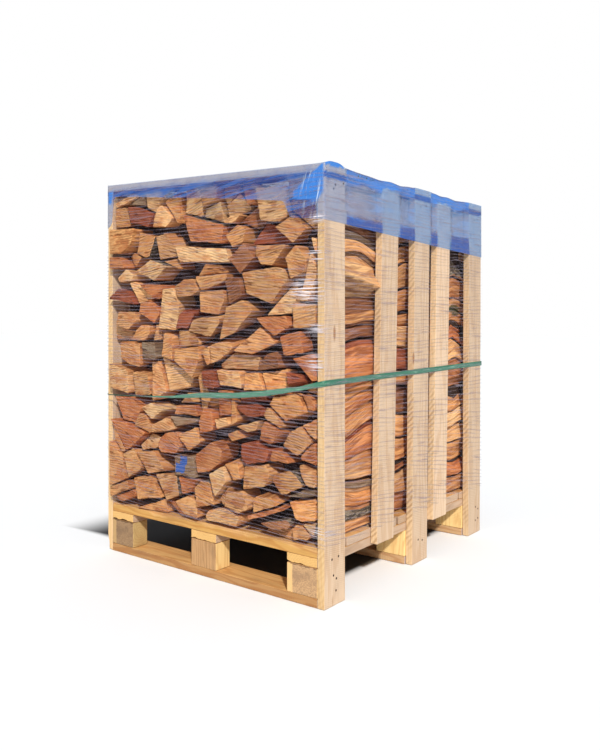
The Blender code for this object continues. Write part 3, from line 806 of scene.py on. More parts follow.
def standingOutlines(row):
    outlines = []
    for tone, *corners in standingOut if row == "front" else ():
        outline = counterClockwise([(x / 1000, z / 1000) for x, z in corners])
        for across, up, limit in stackLimits():
            outline = clip(outline, across, up, limit - stack["space"] * math.hypot(across, up))
        for other in outlines:
            outline = clearOf(outline, other)
        outlines.append(outline)
    return outlines


def logSeeds(chance, taken):
    found = []
    for number in range(stack["layers"]):
        count = stack["across"] + number % 2
        pitch = 2 * stack["halfWidth"] / count
        for place in range(count):
            across = place + 0.5 + chance.uniform(-stack["shake"], stack["shake"])
            x = -stack["halfWidth"] + across * pitch
            layer = (topBoardUnderside(x) - crate["deckTop"]) / stack["layers"]
            lift = number + 0.5 + chance.uniform(-stack["shake"], stack["shake"])
            z = crate["deckTop"] + lift * layer
            weight = chance.uniform(*stack["weights"])
            if not any(within(outline, x, z, stack["clearance"]) for outline in taken):
                found.append((x, z, weight))
    return found


def cell(seed, others, taken, space):
    # The share of the end face that is nearer to this log than to any other
    x, z, weight = seed
    reach = stack["reach"]
    corners = ((-reach, -reach), (reach, -reach), (reach, reach), (-reach, reach))
    outline = [(x + across, z + up) for across, up in corners]
    for across, up, limit in stackLimits():
        outline = clip(outline, across, up, limit - space * math.hypot(across, up))
    for otherX, otherZ, otherWeight in others:
        run = otherX - x
        rise = otherZ - z
        if abs(run) > 2 * reach or abs(rise) > 2 * reach or (run == 0 and rise == 0):
            continue
        limit = (otherX**2 + otherZ**2 - x**2 - z**2 + weight - otherWeight) / 2
        outline = clip(outline, run, rise, limit - space * math.hypot(run, rise))
        if len(outline) < 3:
            return []
    for other in taken:
        outline = clearOf(outline, other)
        if len(outline) < 3:
            return []
    return outline


def railBottom(side):
    post = topBoardUnderside(side * crate["innerHalfWidth"])
    return post - stack["railDrop"] - stack["railHeight"]


def railSide(outline):
    # The side, 1 or -1, on which a log would meet the top rail, or 0
    for side in (1, -1):
        inner = crate["innerHalfWidth"] - crate["boardThickness"] - stack["space"]
        beyond = clip(outline, -side, 0.0, -inner)
        if len(beyond) > 2 and any(z > railBottom(side) - stack["space"] for x, z in beyond):
            return side
    return 0


def besideRails(outline):
    side = railSide(outline)
    if side:
        inner = crate["innerHalfWidth"] - crate["boardThickness"] - stack["space"]
        beside = clip(outline, side, 0.0, inner)
        below = clip(outline, 0.0, 1.0, railBottom(side) - stack["space"])
        outline = max(beside, below, key=lambda kept: area(kept) if len(kept) > 2 else 0.0)
    return outline


def roughened(outline, chance):
    # Outer logs are each cut back at their own slant
    turn = math.radians(chance.uniform(-stack["slantDegrees"], stack["slantDegrees"]))
    share = chance.random()
    for side, (least, most) in stack["setIn"].items():
        reach = max(side * x for x, z in outline)
        if reach < stack["halfWidth"] - stack["atSide"]:
            continue
        back = least + (most - least) * share
        centre = middleOf(outline)[1]
        across = side * math.cos(turn)
        up = math.sin(turn)
        outline = clip(outline, across, up, across * side * (reach - back) + up * centre)
    return outline


def split(outline, corners):
    outline = list(outline)
    while len(outline) > corners:
        def cost(index):
            return area([outline[index - 1], outline[index], outline[(index + 1) % len(outline)]])
        outline.pop(min(range(len(outline)), key=cost))
    return outline


def logOutlines(row):
    chance = random.Random(stack["seeds"][row])
    outlines = standingOutlines(row)
    taken = list(outlines)
    centres = logSeeds(chance, taken)
    relaxed = []
    for seed in centres:
        outline = cell(seed, centres, taken, 0.0)
        if len(outline) > 2:
            x, z = middleOf(outline)
            relaxed.append((x, z, seed[2]))
    for seed in relaxed:
        corners = chance.choice(stack["corners"])
        outline = cell(seed, relaxed, taken, stack["space"])
        if len(outline) < 3:
            continue
        outline = roughened(outline, chance)
        if row == "middle" and len(outline) > 2:
            outline = besideRails(outline)
        if len(outline) < 3 or area(outline) < stack["leastArea"]:
            continue
        fewer = split(outline, corners)
        if area(fewer) < stack["keptShare"] * area(outline):
            fewer = split(outline, corners + 1)
        outlines.append(fewer)
    return outlines


def bulgeShare(x, z):
    return between(stack["bulgeAcross"], x) * between(stack["bulgeUp"], z)


def atSide(outline, row):
    return not buriedInStack(outline) and abs(middleOf(outline)[0]) > stack["sideFrom"]


def standsAtLeft(row, outline):
    height = middleOf(outline)[1]
    atEdge = row == "front" and min(x for x, z in outline) < stack["leftEdge"]
    return atEdge and any(low < height < high for low, high in stack["leftStandsOut"])


def shownExtent(row, outline, starts, stops):
    # Logs at the sides of two rows nearly meet between the uprights
    if standsAtLeft(row, outline):
        starts = -crate["halfLength"] - stack["leftReach"]
    if not atSide(outline, row) or railSide(outline):
        return starts, stops
    if row != "front":
        starts = stack["sideStarts"][row]
    if row != "back":
        stops = stack["sideStops"][row]
    return starts, stops


def logExtent(row, outline, chance, standsOut=False):
    front, back = stack["rows"][row]
    stands = min(bulgeShare(x, z) for x, z in outline)
    starts = front + chance.uniform(*stack["recess"]) * (logWear["knownRecess"] if standsOut else 1.0)
    stops = back - chance.uniform(*stack["recess"])
    if row == "front":
        starts -= stack["bulge"] * stands
        if railSide(outline):
            stops = -crate["halfLength"] + stack["railSetBack"] - stack["space"]
    if row == "back":
        stops += stack["bulge"] * stands
        if railSide(outline):
            starts = crate["halfLength"] - stack["railSetBack"] + stack["space"]
    return starts, stops


logWear = {
    "cornerRound": 0.0035,
    "aroundStep": 0.008,
    "rings": 9,
    "endTilt": 0.012,
    "taper": (0.74, 0.97),
    "outerTaper": (0.78, 0.98),
    "sideTaper": (0.90, 0.99),
    "sway": 0.060,
    "rough": 0.0022,
    "ridge": 0.0020,
    "chip": 0.0040,
    "barkShare": 0.10,
    "sawTurn": 17,
    # Logs with others all round them are coarser; measured ones are tilted and set back less
    "buriedStep": 0.05, "buriedRings": 2, "knownTilt": 0.4, "knownRecess": 0.15,
    "inset": 0.0025, "insetDepth": 0.0008, "pithAway": 0.05,
    "bright": (0.89, 1.19),
    "warm": (-0.07, 0.05),
}


def buriedInStack(outline):
    # True for a log with others all round it, of which only the ends can be seen
    for across, up, limit in stackLimits(**stack["coreInsets"]):
        if any(across * x + up * z > limit for x, z in outline):
            return False
    return True


def sway(row, x, y, z):
    # The logs don't lie quite level: all of a row bend together, more away from the ends
    # that show, and not where they rest on the deck or under the top boards
    front, back = stack["rows"][row]
    fromEnd = y - front if row == "front" else (back - y if row == "back" else 1.0)
    ease = min(1.0, max(0.0, fromEnd - 0.03) / 0.10)
    ease *= min(1.0, max(0.0, z - crate["deckTop"] - 0.02) / 0.08)
    ease *= min(1.0, max(0.0, topBoardUnderside(x) - 0.03 - z) / 0.08)
    return logWear["sway"] * ease * noise.noise(Vector((x * 3.0 + 5.0, y * 4.0, z * 6.5)))


def splitLog(row, outline, starts, stops, tone, chance, around, rings, endTilt):
    # One split log, tapered towards the end that is hidden
    log = bmesh.new()
    toneLayer = log.verts.layers.float_color.new("logTone")
    grainLayer = log.verts.layers.float_vector.new("grainPlace")
    cutLayer = log.verts.layers.float_vector.new("cutPlace")
    log.faces.new([log.verts.new((x, starts, z)) for x, z in outline])
    bmesh.ops.bevel(
        log, geom=log.verts[:], affect="VERTICES", offset=logWear["cornerRound"],
        offset_type="OFFSET", segments=1, profile=0.5, material=-1, clamp_overlap=True,
    )
    for edge in list(log.edges):
        cuts = round(edge.calc_length() / around) - 1
        if cuts > 0:
            bmesh.ops.subdivide_edges(log, edges=[edge], cuts=cuts)
    log.faces.ensure_lookup_table()
    made = bmesh.ops.extrude_face_region(log, geom=[log.faces[0]])
    moved = [item for item in made["geom"] if isinstance(item, bmesh.types.BMVert)]
    bmesh.ops.translate(log, verts=moved, vec=(0.0, stops - starts, 0.0))
    bmesh.ops.recalc_face_normals(log, faces=log.faces)
    if rings > 1:
        sides = [
            edge for edge in log.edges
            if abs((edge.verts[0].co - edge.verts[1].co).y) > 0.6 * (stops - starts)
        ]
        bmesh.ops.subdivide_edges(log, edges=sides, cuts=rings, use_grid_fill=True)
    ends = [face for face in log.faces if abs(face.normal.y) > 0.9]
    if rings > 1:
        bmesh.ops.inset_individual(log, faces=ends, thickness=logWear["inset"], depth=logWear["insetDepth"])
        ends = [face for face in log.faces if len(face.verts) > 8]
    bmesh.ops.poke(log, faces=ends)
    layers = (toneLayer, grainLayer, cutLayer)
    shapeLog(row, log, outline, starts, stops, tone, chance, layers, endTilt)
    return log


def shapeLog(row, log, outline, starts, stops, tone, chance, layers, endTilt):
    toneLayer, grainLayer, cutLayer = layers
    outer = not buriedInStack(outline)
    onSide = atSide(outline, row)
    shares = [chance.random() ** 2 + 0.05 for corner in outline]
    if onSide:
        # A log at the side keeps its outermost corner along its whole length
        reach = max(abs(x) for x, z in outline)
        shares = [3.0 * share if abs(x) > reach - 0.012 else 0.1 * share
                  for share, (x, z) in zip(shares, outline)]
    total = sum(shares)
    anchorX = sum(share * x for share, (x, z) in zip(shares, outline)) / total
    anchorZ = sum(share * z for share, (x, z) in zip(shares, outline)) / total
    taper = chance.uniform(*logWear["sideTaper" if onSide else ("outerTaper" if outer else "taper")])
    backwards = row == "back" or (row == "middle" and chance.random() < 0.5)
    centreX, centreZ = middleOf(outline)
    reachX = max(0.02, max(abs(x - centreX) for x, z in outline))
    reachZ = max(0.02, max(abs(z - centreZ) for x, z in outline))
    tiltX = chance.uniform(-endTilt, endTilt) / reachX
    tiltZ = chance.uniform(-endTilt, endTilt) / reachZ
    if standsAtLeft(row, outline):
        tiltX = tiltZ = 0.0
    lean = max(tiltX * (x - centreX) + tiltZ * (z - centreZ) for x, z in outline)
    pithX = centreX + chance.uniform(-logWear["pithAway"], logWear["pithAway"])
    pithZ = centreZ + chance.uniform(-logWear["pithAway"], logWear["pithAway"])
    shift = Vector([chance.uniform(0, 60) for axis in range(3)])
    turn = math.radians(chance.uniform(-logWear["sawTurn"], logWear["sawTurn"]))
    for vert in log.verts:
        x, y, z = vert.co
        share = (y - starts) / (stops - starts)
        vert[toneLayer] = tone
        vert[grainLayer] = (x - pithX, y + shift.y, z - pithZ)
        cutX = math.cos(turn) * (x - centreX) + math.sin(turn) * (z - centreZ)
        cutZ = -math.sin(turn) * (x - centreX) + math.cos(turn) * (z - centreZ)
        vert[cutLayer] = (cutX + shift.x, shift.z, cutZ + shift.y)
        # Narrower towards the hidden end, and rough all over, always inwards
        hidden = min(1.0, max(0.0, 1 - share if backwards else share))
        close = 1 - (1 - taper) * hidden
        slow = noise.noise(Vector((x * 24, y * 7, z * 24)) + shift)
        ridge = noise.noise(Vector((x * 95, y * 5, z * 95)) + shift)
        chip = noise.noise(Vector((x * 95, y * 40, z * 95)) + shift)
        inward = logWear["rough"] * (0.5 + 0.5 * slow) + logWear["ridge"] * (0.5 + 0.5 * ridge)
        inward += logWear["chip"] * max(0.0, chip)
        newX = anchorX + (x - anchorX) * close
        newZ = anchorZ + (z - anchorZ) * close
        away = Vector((newX - centreX, 0.0, newZ - centreZ))
        if away.length > 0.012:
            away.normalize()
            newX -= away.x * inward
            newZ -= away.z * inward
        tilt = tiltX * (x - centreX) + tiltZ * (z - centreZ) - lean
        endShare = max(0.0, 1 - 6 * share) if share < 0.5 else max(0.0, 6 * share - 5)
        if onSide and not (row == "front" and share < 0.5) and not (row == "back" and share > 0.5):
            endShare = 0.0
        newY = y - tilt * endShare if share < 0.5 else y + tilt * endShare
        vert.co = (newX, newY, newZ + sway(row, x, y, z))


def barkSide(log, outline, chance):
    # Leaves the bark on the side of one log that faced outwards in the tree
    index = chance.randrange(len(outline))
    xA, zA = outline[index]
    xB, zB = outline[(index + 1) % len(outline)]
    outwards = Vector((zB - zA, 0.0, xA - xB)).normalized()
    for face in log.faces:
        if face.material_index == 1 and face.normal.dot(outwards) > 0.55:
            face.material_index = 2


def pickTone(chance):
    names = list(logTones)
    return chance.choices(names, [logTones[name][1] for name in names])[0]


def lotOf(name, chance):
    colour = logTones[name][0]
    bright = chance.uniform(*logWear["bright"])
    warm = chance.uniform(*logWear["warm"])
    return (colour[0] * bright * (1 + warm), colour[1] * bright, colour[2] * bright * (1 - warm), 1.0)


def logEndFinish():
    finish, tree, shader = newFinish("sawnLogEnd")
    tone = attribute(tree, "logTone", "Color")
    place = attribute(tree, "grainPlace")
    cut = attribute(tree, "cutPlace")
    heartwood = tinted(tone, (0.58, 0.38, 0.26, 1.0))
    sapwood = tinted(tone, (1.20, 1.18, 1.10, 1.0))
    rusty = tinted(tone, (0.92, 0.60, 0.42, 1.0))
    red = tinted(tone, (0.56, 0.30, 0.24, 1.0))
    # Rings from the pith, a broad change from heart to sap, and rusty patches
    flat = scaled(place, (1.0, 0.0, 1.0))
    fromPith = lengthOf(flat)
    broad = streaky(cut, (26.0, 1.0, 26.0), detail=3.0)
    wander = times(broad, 0.016)
    ringWave = times(plus(fromPith, wander), 2 * math.pi / 0.0052)
    ring = stepped(calc("SINE", ringWave), -0.2, 1.0)
    colour = mixed(stepped(broad, 0.40, 0.62), sapwood, tone)
    rust = stepped(streaky(cut, (24.0, 1.0, 44.0), detail=4.0), 0.50, 0.64)
    colour = over(colour, rust, 0.72, rusty)
    stained = stepped(streaky(cut, (13.0, 1.0, 22.0), detail=4.0), 0.58, 0.65)
    colour = over(colour, stained, 0.62, red)
    heart = stepped(plus(fromPith, times(broad, 0.05)), 0.075, 0.030)
    colour = over(colour, heart, 0.35, heartwood)
    colour = over(colour, ring, 0.14, heartwood)
    # Saw marks run nearly level: fine streaks, parallel lines and a few dark gouges
    sawn = streaky(cut, (20.0, 1.0, 140.0), detail=4.0, roughness=0.62)
    streak = stepped(sawn, 0.47, 0.62)
    colour = over(colour, streak, 0.52, heartwood)
    phase = times(parts(cut)[2], 2 * math.pi / 0.0078)
    phase = plus(phase, times(broad, 9.0))
    patch = stepped(streaky(cut, (16.0, 1.0, 30.0), detail=2.0), 0.38, 0.60)
    line = times(stepped(calc("SINE", phase), 0.30, 0.98), patch)
    dark = tinted(tone, (0.30, 0.17, 0.12, 1.0))
    colour = over(colour, line, 0.42, dark)
    gouges = streaky(cut, (14.0, 1.0, 90.0), detail=2.0)
    gouge = stepped(gouges, 0.63, 0.71)
    colour = over(colour, gouge, 0.85, dark)
    grit = streaky(cut, (420.0, 1.0, 420.0), detail=4.0)
    colour = over(colour, stepped(grit, 0.5, 0.75), 0.25, heartwood)
    colour = mixed(blueMark(tree), colour, paintMark["colour"])
    surface(shader, colour, 0.88, 0.2)
    height = plus(times(sawn, 0.8), times(grit, 0.35))
    height = minus(height, times(line, 0.35))
    height = minus(height, times(gouge, 0.5))
    bumped(shader, height, 1.0, 0.006)
    return finish


# The forester's blue mark on one grey log of the front: two dabs, each as x, z and half its size
paintMark = {
    "colour": paint(44, 92, 172),
    "dabs": ((-0.076, 0.3090, 0.0190, 0.0130), (-0.0630, 0.3345, 0.0135, 0.0120)),
}


def blueMark(tree):
    place = objectPlace(tree)
    cut = attribute(tree, "cutPlace")
    worn = streaky(cut, (90.0, 1.0, 150.0), detail=3.0)
    inside = 0.0
    for x, z, wide, tall in paintMark["dabs"]:
        away = vector("SUBTRACT", place, (x, 0.0, z))
        across, deep, up = parts(scaled(away, (1 / wide, 0.0, 1 / tall)))
        far = larger(calc("ABSOLUTE", across), calc("ABSOLUTE", up))
        dab = stepped(plus(far, times(worn, 0.9)), 1.55, 1.40)
        inside = larger(inside, dab)
    covered = times(stepped(worn, 0.74, 0.62), 0.92)
    atFront = stepped(parts(place)[1], -0.44, -0.46)
    return times(times(inside, covered), atFront)


def moss(tree):
    # A mossy patch on one log of the right side, towards the back
    place = objectPlace(tree)
    away = vector("SUBTRACT", place, (0.385, 0.382, 0.781))
    away = scaled(away, (10.0, 22.0, 52.0))
    far = lengthOf(away)
    ragged = cloudy(place, scale=110.0, detail=4.0)
    return times(stepped(plus(far, ragged), 1.65, 1.35), 0.85)


def logSplitFinish():
    finish, tree, shader = newFinish("splitLogSide")
    tone = attribute(tree, "logTone", "Color")
    place = attribute(tree, "grainPlace")
    dark = tinted(tone, (0.34, 0.17, 0.11, 1.0))
    warm = tinted(tone, (1.0, 0.80, 0.64, 1.0))
    fibre = streaky(place, (85.0, 4.0, 85.0), detail=6.0, roughness=0.68)
    broad = streaky(place, (26.0, 4.0, 26.0), detail=3.0)
    pale = tinted(tone, (1.24, 1.20, 1.12, 1.0))
    colour = mixed(stepped(broad, 0.35, 0.65), pale, warm)
    fine = cloudy(scaled(turned(place, 4.0, 0), (150.0, 9.0, 150.0)), detail=3.0)
    colour = over(colour, stepped(fibre, 0.45, 0.66), 0.70, dark)
    colour = over(colour, stepped(fine, 0.54, 0.66), 0.54, dark)
    strips = cloudy(scaled(turned(place, -7.0, 0), (48.0, 5.0, 48.0)), detail=2.0)
    colour = over(colour, stepped(strips, 0.54, 0.62), 0.50, dark)
    colour = mixed(moss(tree), colour, paint(66, 72, 44))
    surface(shader, colour, 0.8, 0.25)
    bumped(shader, plus(fibre, times(broad, 0.6)), 1.0, 0.006)
    return finish


def logBarkFinish():
    finish, tree, shader = newFinish("logBark")
    place = attribute(tree, "grainPlace")
    # Long furrows along the log, broken up unevenly
    warp = {"Vector": scaled(place, (60.0, 30.0, 60.0)), "Scale": 1.0, "Detail": 3.0}
    warp = scaled(joined("ShaderNodeTexNoise", "Color", warp), (2.2, 2.2, 2.2))
    warped = vector("ADD", scaled(place, (52.0, 9.0, 52.0)), warp)
    plates = addNode(
        tree, "ShaderNodeTexVoronoi", {"Vector": warped, "Scale": 1.0}, feature="DISTANCE_TO_EDGE",
    ).outputs["Distance"]
    crack = stepped(plates, 0.14, 0.0)
    flakes = streaky(place, (120.0, 50.0, 120.0), detail=5.0)
    colour = mixed(stepped(flakes, 0.35, 0.7), paint(104, 84, 66), paint(150, 134, 112))
    colour = over(colour, crack, 0.8, paint(44, 30, 22))
    surface(shader, colour, 0.92)
    height = minus(flakes, times(crack, 0.8))
    bumped(shader, height, 1.0, 0.005)
    return finish


def heartBlock(heart, low, high, top):
    # Its top slopes with the top boards
    for vert in bmesh.ops.create_cube(heart, size=1.0)["verts"]:
        for axis in range(3):
            vert.co[axis] = low[axis] if vert.co[axis] < 0 else high[axis]
        if vert.co.z == high[2]:
            vert.co.z = topBoardUnderside(vert.co.x) - top


def stackShadeCore(row):
    # The inside of the stack: a block in a very dark tone, painted shade that shows through the gaps between
    # logs
    front, back = stack["rows"][row]
    heart = bmesh.new()
    toneLayer = heart.verts.layers.float_color.new("logTone")
    grainLayer = heart.verts.layers.float_vector.new("grainPlace")
    made = stack["heart"]
    foot = crate["deckTop"] + made["foot"]
    low = (-made["side"], front + made["end"], foot)
    high = (made["side"], back - made["end"], 9.0)
    heartBlock(heart, low, high, made["top"])
    # Narrow ones shut the corners of the load, which one could see through otherwise
    if row in made["cornerEnd"]:
        near = made["cornerEnd"][row]
        far = made["end"] - 0.004
        starts, stops = (front + near, front + far) if row == "front" else (back - far, back - near)
        for side in (-1, 1):
            edges = (made["side"] - made["cornerInner"], made["side"] + made["cornerOuter"])
            inner, outer = sorted(side * edge for edge in edges)
            heartBlock(heart, (inner, starts, foot), (outer, stops, 9.0), made["top"])
    for axis in range(3):
        slicedAlong(heart, axis, made["slice"])
    heart.normal_update()
    moved = [(vert, vert.normal * made["rough"] * noise.noise(vert.co * 13)) for vert in heart.verts]
    for vert, shift in moved:
        vert.co += shift
        vert[toneLayer] = made["tone"]
        vert[grainLayer] = vert.co
    for face in heart.faces:
        face.material_index = 1
    return heart


# Logs that lie behind the ends of the front row along both its sides
sideLogs = {
    "inner": 0.325, "outer": 0.390, "slack": 0.005, "height": (0.042, 0.075), "slant": 0.010,
    "gap": 0.003, "start": -0.432, "stop": -0.1745,
}


def sideOutlines(side, chance):
    outlines = []
    foot = crate["deckTop"] + 0.002
    slants = (0.0, 0.0)
    while foot < topBoardUnderside(side * sideLogs["outer"]) - 0.050:
        top = foot + chance.uniform(*sideLogs["height"])
        nextSlants = [chance.uniform(-sideLogs["slant"], sideLogs["slant"]) for end in range(2)]
        outer = sideLogs["outer"] - chance.uniform(0.0, sideLogs["slack"])
        outline = [
            (side * sideLogs["inner"], foot + slants[0]),
            (side * outer, foot + slants[1]),
            (side * outer, top + nextSlants[1] - sideLogs["gap"]),
            (side * sideLogs["inner"], top + nextSlants[0] - sideLogs["gap"]),
        ]
        outline = besideRails(counterClockwise(outline))
        if len(outline) > 2:
            outlines.append(outline)
        foot = top
        slants = nextSlants
    return outlines


# Corners of the split log that juts out between the first two uprights of the right side
juttingLog = {
    "tone": "light",
    # Share of its tone below the ridge: painted shade on its underside
    "under": 0.50,
    "corners": (
        (0.386, -0.396, 0.926), (0.392, -0.213, 0.901), (0.416, -0.396, 0.881), (0.419, -0.205, 0.841),
        (0.386, -0.396, 0.805), (0.392, -0.250, 0.815), (0.350, -0.396, 0.865), (0.350, -0.230, 0.865),
    ),
    "step": 0.010,
    "rough": 0.0040,
}


def splitJuttingLog():
    log = bmesh.new()
    toneLayer = log.verts.layers.float_color.new("logTone")
    grainLayer = log.verts.layers.float_vector.new("grainPlace")
    for corner in juttingLog["corners"]:
        log.verts.new(corner)
    bmesh.ops.convex_hull(log, input=log.verts[:])
    for axis in (1, 2):
        slicedAlong(log, axis, juttingLog["step"])
    bmesh.ops.recalc_face_normals(log, faces=log.faces)
    log.normal_update()
    ridgeStart, tip = (Vector(corner) for corner in juttingLog["corners"][2:4])
    moved = []
    for vert in log.verts:
        ridge = noise.noise(Vector((vert.co.x * 60, vert.co.y * 9, vert.co.z * 70)))
        ease = min(1.0, (vert.co - tip).length / 0.04)
        moved.append((vert, vert.normal * -juttingLog["rough"] * ease * (0.5 + ridge)))
    for vert, shift in moved:
        along = (vert.co.y - ridgeStart.y) / (tip.y - ridgeStart.y)
        below = ridgeStart.z + (tip.z - ridgeStart.z) * along - 0.003 - vert.co.z
        # Below the ridge the tone is darkened: painted shade on the log's underside
        bright = juttingLog["under"] if below > 0 else 1.0
        vert.co += shift
        vert[toneLayer] = (*(bright * value for value in logTones[juttingLog["tone"]][0][:3]), 1.0)
        vert[grainLayer] = vert.co
    for face in log.faces:
        face.material_index = 1
    return log


def firewoodRow(row, finishes):
    # All logs of one row as one mesh
    extents = random.Random(stack["seeds"][row] + 100)
    chance = random.Random(stack["seeds"][row] + 200)
    loose = bpy.data.meshes.new("oneLog")
    whole = bmesh.new()
    outlines = logOutlines(row)
    for number, outline in enumerate(outlines):
        known = row == "front" and number < len(standingOut)
        starts, stops = logExtent(row, outline, extents, known)
        starts, stops = shownExtent(row, outline, starts, stops)
        endTilt = logWear["endTilt"] * (logWear["knownTilt"] if known else 1.0)
        name = standingOut[number][0] if known else pickTone(chance)
        tone = lotOf(name, chance)
        buried = buriedInStack(outline)
        rings = logWear["buriedRings"] if buried else logWear["rings"]
        step = logWear["aroundStep"]
        if buried and row == "middle":
            rings = 1
            step = logWear["buriedStep"]
        log = splitLog(row, outline, starts, stops, tone, chance, step, rings, endTilt)
        log.normal_update()
        for face in log.faces:
            face.material_index = 0 if abs(face.normal.y) > 0.8 else 1
            face.smooth = False
        if chance.random() < logWear["barkShare"]:
            barkSide(log, outline, chance)
        moveInto(whole, log, loose)
    moveInto(whole, stackShadeCore(row), loose)
    if row == "front":
        moveInto(whole, splitJuttingLog(), loose)
        behind = random.Random(stack["seeds"][row] + 300)
        for outline in sideOutlines(-1, behind) + sideOutlines(1, behind):
            starts, stops = sideLogs["start"], sideLogs["stop"]
            tone = lotOf(pickTone(behind), behind)
            step = logWear["aroundStep"]
            log = splitLog(row, outline, starts, stops, tone, behind, step, logWear["rings"], 0.0)
            for face in log.faces:
                face.material_index = 1
                face.smooth = False
            moveInto(whole, log, loose)
    bpy.data.meshes.remove(loose)
    print("stage:", len(outlines), "logs in the", row, "row")
    return newPiece(f"firewood_{row}", whole, finishes, "firewood", f"firewood_row_{row}")


logFinishes = [logEndFinish(), logSplitFinish(), logBarkFinish()]
for rowName in stack["rows"]:
    firewoodRow(rowName, logFinishes)


# The loop that strap and film follow round the load

def loopPlaces(offset, step):
    # Points round the crate, anticlockwise from the front right corner, as x, y and facing
    halfX = crate["halfWidth"] + offset
    halfY = crate["halfLength"] + offset
    corners = [(halfX, -halfY), (halfX, halfY), (-halfX, halfY), (-halfX, -halfY)]
    facings = (0, -1, 0, 1)
    places = []
    for index, (xA, yA) in enumerate(corners):
        xB, yB = corners[(index + 1) % 4]
        length = math.hypot(xB - xA, yB - yA)
        count = round(length / step)
        for number in range(count):
            share = number / count
            places.append((xA + (xB - xA) * share, yA + (yB - yA) * share, facings[index]))
    return places


# Green strap

strapMade = {
    "width": 0.0155, "thickness": 0.0008, "gap": 0.0003, "step": 0.012,
    "corners": {"frontRight": 0.584, "backRight": 0.593, "backLeft": 0.530, "frontLeft": 0.506},
    "sag": (
        (0.346, 0.5665), (0.235, 0.5480), (0.140, 0.5370), (0.013, 0.5300), (-0.048, 0.5240),
        (-0.111, 0.5172), (-0.245, 0.5108),
    ),
    # pale serves both the scuffs and the painted highlight along the front
    "colour": paint(40, 108, 84), "pale": paint(132, 174, 152), "dark": paint(44, 74, 56),
    # Share of its width that shows along the front, where it turns on edge at the left
    "turned": (
        (-0.4223, 0.20), (-0.245, 0.22), (-0.120, 0.36), (-0.048, 0.74), (0.030, 1.0), (0.280, 1.0),
        (0.350, 0.72), (0.4223, 1.0),
    ),
}


def strapHeight(x, y):
    corners = strapMade["corners"]
    if y < -crate["halfLength"] and abs(x) < crate["halfWidth"]:
        known = [(-crate["halfWidth"], corners["frontLeft"]), *reversed(strapMade["sag"])]
        known.append((crate["halfWidth"], corners["frontRight"]))
        return between(known, x)
    along = (y + crate["halfLength"]) / (2 * crate["halfLength"])
    across = (x + crate["halfWidth"]) / (2 * crate["halfWidth"])
    left = blend(corners["frontLeft"], corners["backLeft"], along)
    right = blend(corners["frontRight"], corners["backRight"], along)
    return blend(left, right, across)


def strapFinish():
    finish, tree, shader = newFinish("greenStrap")
    place = addNode(tree, "ShaderNodeUVMap", uv_map="along").outputs[0]
    checks = addNode(
        tree, "ShaderNodeTexVoronoi", {"Vector": scaled(place, (420.0, 420.0, 1.0)), "Scale": 1.0},
    ).outputs["Distance"]
    scuff = streaky(place, (18.0, 160.0, 1.0), detail=4.0)
    spot = parts(objectPlace(tree))
    # Paler along the front: a painted highlight there, added to the real scuffs
    atFront = stepped(spot[1], -0.5012, -0.5060)
    fadedAndSheen = plus(stepped(scuff, 0.5, 0.8), times(atFront, 0.26))
    colour = mixed(smaller(fadedAndSheen, 1.0), strapMade["colour"], strapMade["pale"])
    onEdge = times(atFront, stepped(spot[0], -0.14, -0.26))
    colour = mixed(onEdge, colour, strapMade["dark"])
    surface(shader, colour, 0.38)
    bumped(shader, checks, 0.5, 0.0006)
    return finish


def strapBand():
    shape = bmesh.new()
    uv = shape.loops.layers.uv.new("along")
    share = shape.verts.layers.float_vector.new("share")
    thickness = strapMade["thickness"]
    places = loopPlaces(strapMade["gap"], strapMade["step"])
    section = ((0, -1.0), (1, -1.0), (1, -0.33), (1, 0.33), (1, 1.0), (0, 1.0))
    starts = [shape.verts.new((0, 0, 0)) for corner in section]
    for vert, (outer, up) in zip(starts, section):
        vert[share] = (outer, up, 0.0)
    edges = [shape.edges.new((starts[index], starts[(index + 1) % 6])) for index in range(6)]
    first = list(edges)
    ring = starts
    for number, (x, y, facing) in enumerate(places):
        if number:
            ring, edges = nextRing(shape, edges)
        centre = strapHeight(x, y)
        width = strapMade["width"] * (between(strapMade["turned"], x) if facing == 1 else 1.0)
        for vert in ring:
            outer, up, spare = vert[share]
            z = centre + up * width / 2
            outX = math.copysign(outer * thickness, x) if abs(x) >= crate["halfWidth"] else 0.0
            outY = math.copysign(outer * thickness, y) if abs(y) >= crate["halfLength"] else 0.0
            vert.co = (x + outX, y + outY - facing * stack["bulge"] * bulgeShare(x, z), z)
    bmesh.ops.bridge_loops(shape, edges=edges + first)
    bmesh.ops.recalc_face_normals(shape, faces=shape.faces)
    for face in shape.faces:
        for loop in face.loops:
            spot = loop.vert.co
            loop[uv].uv = (spot.x + spot.y, spot.z)
        face.smooth = True
    return newPiece("strap_band", shape, [strapFinish()], "strap", "green_strap")


strapBand()
print("stage: strap")


# Blue cover sheet

